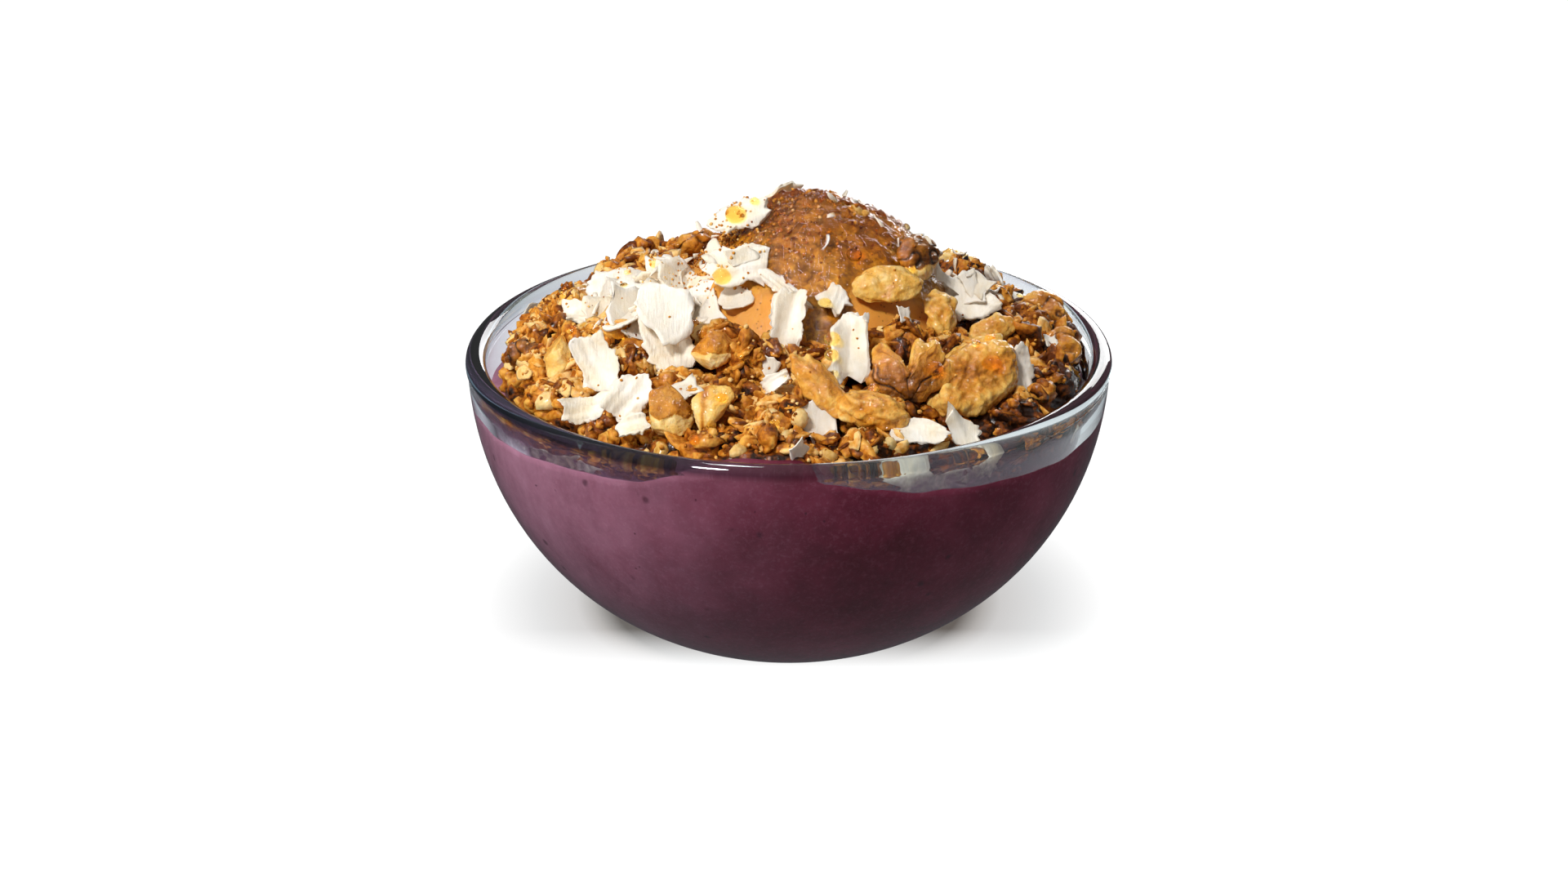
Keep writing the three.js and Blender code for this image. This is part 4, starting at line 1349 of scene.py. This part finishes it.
honeyCrumbs = {
    "name": "crumbs_in_honey", "seed": 54,
    "patches": [((-8, 0), 9, 900, 0.35, 0.95), ((9, 0), 17, 350, 0.35, 0.95)],
    "steep": 50, "half": 1.5, "tilt": 1, "lift": 0.9, "tints": (0.0, 0.6),
}


def flakeShape(dice, ragged):
    # a shaved flake of unit length: a thin torn plate, curled along and across
    bm = bmesh.new()
    bmesh.ops.create_grid(bm, x_segments=14, y_segments=9, size=0.5)
    bmesh.ops.solidify(bm, geom=bm.faces[:], thickness=0.055)
    seed = dice.uniform(0, 40)
    curl = dice.uniform(-0.5, 0.8)
    trough = dice.uniform(-0.6, 0.9)
    breadth = dice.uniform(0.45, 0.8)
    taper = dice.uniform(-0.5, 0.5)
    for vertex in bm.verts:
        x, y, z = vertex.co
        rim = max(abs(x), abs(y)) * 2
        tear = ragged * rim ** 3 * (0.5 * grain((x, y, 0), 0.13, seed) + 2 * grain((x, y, 0), 0.5, seed))
        x *= 1 + 2 * tear - 0.25 * abs(y)
        y *= (1 + 2 * tear) * (1 + taper * x) * breadth
        ripple = 0.02 * grain((x, y, 0), 0.3, seed)
        vertex.co = (x, y, z + curl * x * x * 0.6 + trough * y * y + 0.3 * taper * x * y + ripple)
    bmesh.ops.recalc_face_normals(bm, faces=bm.faces[:])
    return template(bm)


coconutAtGlass = {
    "seed": 41,
    # compass angle, height, length and turn of each
    "flakes": [(219, 56.4, 6, 40), (226.5, 56.4, 14, 12), (232, 57.6, 8, -25), (295, 57.6, 16, -8),
               (307, 58.3, 9, 62), (334, 55.6, 9, 60), (30, 60, 11, 15), (75, 59.5, 13, -10),
               (118, 60, 10, 40), (150, 60, 12, 5)],
    "tints": (0.15, 0.35),
    "gap": 0.3,  # between each and the glass
    "ragged": 0.26,
}
oatsAtGlass = {
    "seed": 43,
    "tries": 420,
    "lineBelow": 60,  # none where the puree stands higher than this
    "bare": (135, 231),  # nor between these compass angles
    "heights": (0.5, 62),  # from this much over the puree's line up to this height
    "sizes": (3.0, 7.0),
    "turn": 20,  # degrees that most are off level
    # darker tints only: painted shade behind the glass
    "tints": (0, 0.7),
    "gap": 0.55,
}


def pressOnGlass(look, name, shapes, spots, dice, material):
    # shapes laid flat against the inside of the glass, at (compass angle, height, length, turn)
    placings = []
    for compass, height, size, turn in spots:
        points, faces, shades = dice.choice(shapes)
        swing = math.radians(turn)
        bent = []
        for x, y, z in points * size:
            across = x * math.cos(swing) - y * math.sin(swing)
            above = x * math.sin(swing) + y * math.cos(swing)
            angle = math.radians(compass) + across / innerRadius
            level = min(height + above * 0.6, lipHeight + 1.2)
            wall = min(innerReach(level), glassBowl["rimRadius"] - 2 * lipRadius)
            reach = wall - look["gap"] - 0.25 * abs(z)
            bent.append((reach * math.cos(angle), reach * math.sin(angle), level))
        placings.append(((np.array(bent), faces, shades), Matrix(), dice.uniform(*look["tints"])))
    return joinCopies(name, placings, material)


def pressCoconut(material):
    look = coconutAtGlass
    dice = random.Random(look["seed"])
    shapes = [flakeShape(dice, look["ragged"]) for _ in range(6)]
    return pressOnGlass(look, "coconut_at_glass", shapes, look["flakes"], dice, material)


def pressGranola(material):
    # oats that lie against the glass over the puree's line
    look = oatsAtGlass
    dice = random.Random(look["seed"])
    shapes = [oatShape(dice) for _ in range(6)]
    over, top = look["heights"]
    spots = []
    for _ in range(look["tries"]):
        compass = dice.uniform(0, 360)
        line = pureeLine(math.radians(compass))
        if line > look["lineBelow"] or look["bare"][0] < compass < look["bare"][1]:
            continue
        height = dice.uniform(line + over, top)
        size = dice.uniform(*look["sizes"])
        spots.append((compass, height, size, dice.gauss(0, look["turn"])))
    return pressOnGlass(look, "oats_at_glass", shapes, spots, dice, material)


studio = {
    # from straight below to straight above
    "sky": [(0.0, "#68686c"), (0.22, "#4c4c50"), (0.38, "#4c4c50"), (0.62, "#626264"), (1.0, "#a6a6a6")],
    # what shows through the glass, from left to right: a black flag, then white card
    "behind": [(0.0, "#0c1a24"), (0.2, "#13202b"), (0.3, "#ececf6"), (0.6, "#fafafc"), (1.0, "#fafcfc")],
    "overhead": "#17222e",  # what shows through the glass from high up, except at the right
    "key": {"from": (-0.36, -0.53, 0.77), "spread": 10, "strength": 2.7},
    # panels, and the kinds of ray that meet them
    "left": {"place": (-620, -330, 190), "aim": (0, 0, 40), "size": 260, "watts": 2.4, "rays": ("diffuse",)},
    "strip": {"place": (-90, 130, 700), "aim": (0, 0, 90), "size": 80, "watts": 0.95, "rays": ("glossy",)},
    "card": {"place": (250, 740, 230), "aim": (0, 0, 60), "size": 420, "watts": 3.0,
             "rays": ("glossy", "transmission")},
    # the table is lit from inside, as an opal one is, and less so under the bowl: a painted shadow
    "floorGlowWithPaintedShadow": [
        (0.05, "#645d58"), (0.17, "#b0aca9"), (0.27, "#cccac9"), (0.5, "#dcdcdc"), (0.9, "#ffffff")],
    "floorRadius": 3000,
}


def makeSky():
    world = bpy.data.worlds.new("studio")
    bpy.context.scene.world = world
    world.use_nodes = True
    tree = world.node_tree
    direction = addNode(tree, "TexCoord", {}).outputs["Generated"]
    parts = addNode(tree, "SeparateXYZ", {0: direction})
    # the sky, from straight below to straight above
    height = addNode(tree, "MapRange", {"Value": parts.outputs["Z"], "From Min": -1})
    sky = addNode(tree, "ValToRGB", {"Fac": height, "stops": studio["sky"]})
    # what shows through the glass instead
    across = addNode(tree, "MapRange", {"Value": parts.outputs["X"], "From Min": -1})
    behind = addNode(tree, "ValToRGB", {"Fac": across, "stops": studio["behind"]})
    high = addNode(tree, "MapRange", {"Value": parts.outputs["Z"], "From Min": 0.02, "From Max": 0.14})
    leftwards = addNode(tree, "MapRange", {"Value": parts.outputs["X"], "From Min": 0.06, "From Max": -0.1})
    dark = addNode(tree, "Math", {"operation": "MULTIPLY", 0: high, 1: leftwards})
    shown = addNode(tree, "Mix", {
        "data_type": "RGBA", "Factor": dark, "A": behind, "B": linear(studio["overhead"])})
    # rays that have been in the glass, and have met nothing matt
    path = addNode(tree, "LightPath", {})
    through = addNode(tree, "Math", {
        "operation": "SUBTRACT", "use_clamp": True,
        0: path.outputs["Transmission Depth"], 1: path.outputs["Diffuse Depth"]})
    seen = addNode(tree, "Mix", {"data_type": "RGBA", "Factor": through, "A": sky, "B": shown.outputs[2]})
    tree.links.new(seen.outputs[2], tree.nodes["Background"].inputs["Color"])


def addLamp(name, kind, direction):
    data = bpy.data.lights.new(name, kind)
    lamp = bpy.data.objects.new(name, data)
    lamp.rotation_euler = Vector(direction).to_track_quat("Z", "Y").to_euler()
    bpy.context.scene.collection.objects.link(lamp)
    return lamp


def makeLamps():
    # one broad far lamp over the camera lights the whole table alike; the panels are near
    key = addLamp("key", "SUN", studio["key"]["from"])
    key.data.angle = math.radians(studio["key"]["spread"])
    key.data.energy = studio["key"]["strength"]
    for name in ("left", "strip", "card"):
        panel = studio[name]
        lamp = addLamp(name, "AREA", Vector(panel["place"]) - Vector(panel["aim"]))
        lamp.location = Vector(panel["place"]) * mm
        lamp.data.size = panel["size"] * mm
        lamp.data.energy = panel["watts"]
        lamp.visible_camera = False
        for ray in ("diffuse", "glossy", "transmission"):
            setattr(lamp, "visible_" + ray, ray in panel["rays"])


def makeFloor():
    # a round table whose rim sweeps up, so that it is behind the bowl from every side
    radius = studio["floorRadius"]
    bend = radius / 3
    curve = steps(8, 0.2, math.pi / 2)
    profile = [(0, 0), (radius, 0)]
    profile += [(radius + bend * math.sin(a), bend - bend * math.cos(a)) for a in curve]
    profile += [(radius + bend, radius)]
    mesh = bpy.data.meshes.new("floor")
    bm = lathe(profile, 64, 0.1)
    bm.to_mesh(mesh)
    bm.free()
    mesh.materials.append(opalAcrylic())
    floor = bpy.data.objects.new("floor", mesh)
    bpy.context.scene.collection.objects.link(floor)
    # it throws no light of its own back onto the bowl, nor shows in the glass
    for ray in ("diffuse", "glossy", "transmission", "shadow"):
        setattr(floor, "visible_" + ray, False)


bpy.context.scene.view_settings.view_transform = "Standard"
makeCamera()
makeSky()
makeLamps()
makeFloor()
print("glass and puree")
makeGlass(sodaLimeGlass())
makePuree(frozenPuree())
makeSmear(thinPuree())
print("peanut butter and honey")
scoop = makeButter(groundPeanut())
glaze = makeHoneySheet(runnyHoney("runnyHoney", honeySheet["colour"], honeySheet["density"]))
print("walnuts")
kernelSkin = honeyedWalnut()
kernels = [makeWalnut(name, kernelSkin, number) for number, name in enumerate(walnuts)]
print("coconut flakes")
flakeSkin = driedCoconut()
flakeNames = [name for name in cadNodes if name.startswith("coconut_")]
flakes = [makeFlake(name, flakeSkin, number) for number, name in enumerate(sorted(flakeNames))]
print("granola")
shapeDice = random.Random(3)
oatSkin = toastedOat("toastedOat", *granola["oat"])
crispSkin = toastedOat("caramelCrisp", *granola["crisp"])
nutSkin = toastedOat("choppedNut", *granola["nut"])
core = makeCore(crispSkin)
largeKinds = ("walnut", "coconut", "granola_lump")
largeNodes = [node for name, node in cadNodes.items() if name.startswith(largeKinds)]
clusters = makeClusters(crispSkin, treeOf(largeNodes), treeOf([cadNodes["granola_heap"]]))
bed = [core, clusters, makeLump(crispSkin)]
large = kernels + flakes + [scoop]
bedFaces = sum(len(piece.data.polygons) for piece in bed)
ground = treeOf(bed + large)
largeTree = treeOf(large)
oatShapes = [oatShape(shapeDice) for _ in range(10)]
loose = [scatter(oats, oatShapes, ground, oatSkin, largeTree, bedFaces)]
crispShapes = [crispShape(shapeDice) for _ in range(10)]
loose.append(scatter(crisps, crispShapes, ground, crispSkin, largeTree, bedFaces))
nutShapes = [chunkShape(shapeDice) for _ in range(8)]
loose.append(scatter(choppedNuts, nutShapes, ground, nutSkin, largeTree))
crumbShapes = [crumbShape(shapeDice) for _ in range(6)]
loose.append(scatter(granules, crumbShapes, treeOf(bed + large + loose), oatSkin, largeTree))
print("small toppings")
pressCoconut(flakeSkin)
# the oats at the glass take the darker crisp colours: painted shade
pressGranola(crispSkin)
scatter(honeyCrumbs, crumbShapes, treeOf([scoop]), oatSkin)
heaped = bed + large + [glaze] + loose
flakeShapes = [flakeShape(shapeDice, 0.08) for _ in range(14)]
bits = scatter(coconutBits, flakeShapes, treeOf(heaped), flakeSkin)
everything = treeOf(heaped + [bits])
shredShapes = [shredShape(shapeDice) for _ in range(8)]
scatter(coconutShreds, shredShapes, everything, flakeSkin)
makeBeads(runnyHoney("thickHoney", honeyBeads["colour"], honeyBeads["density"]), everything)
scatter(crumbs, crumbShapes, everything, oatSkin)
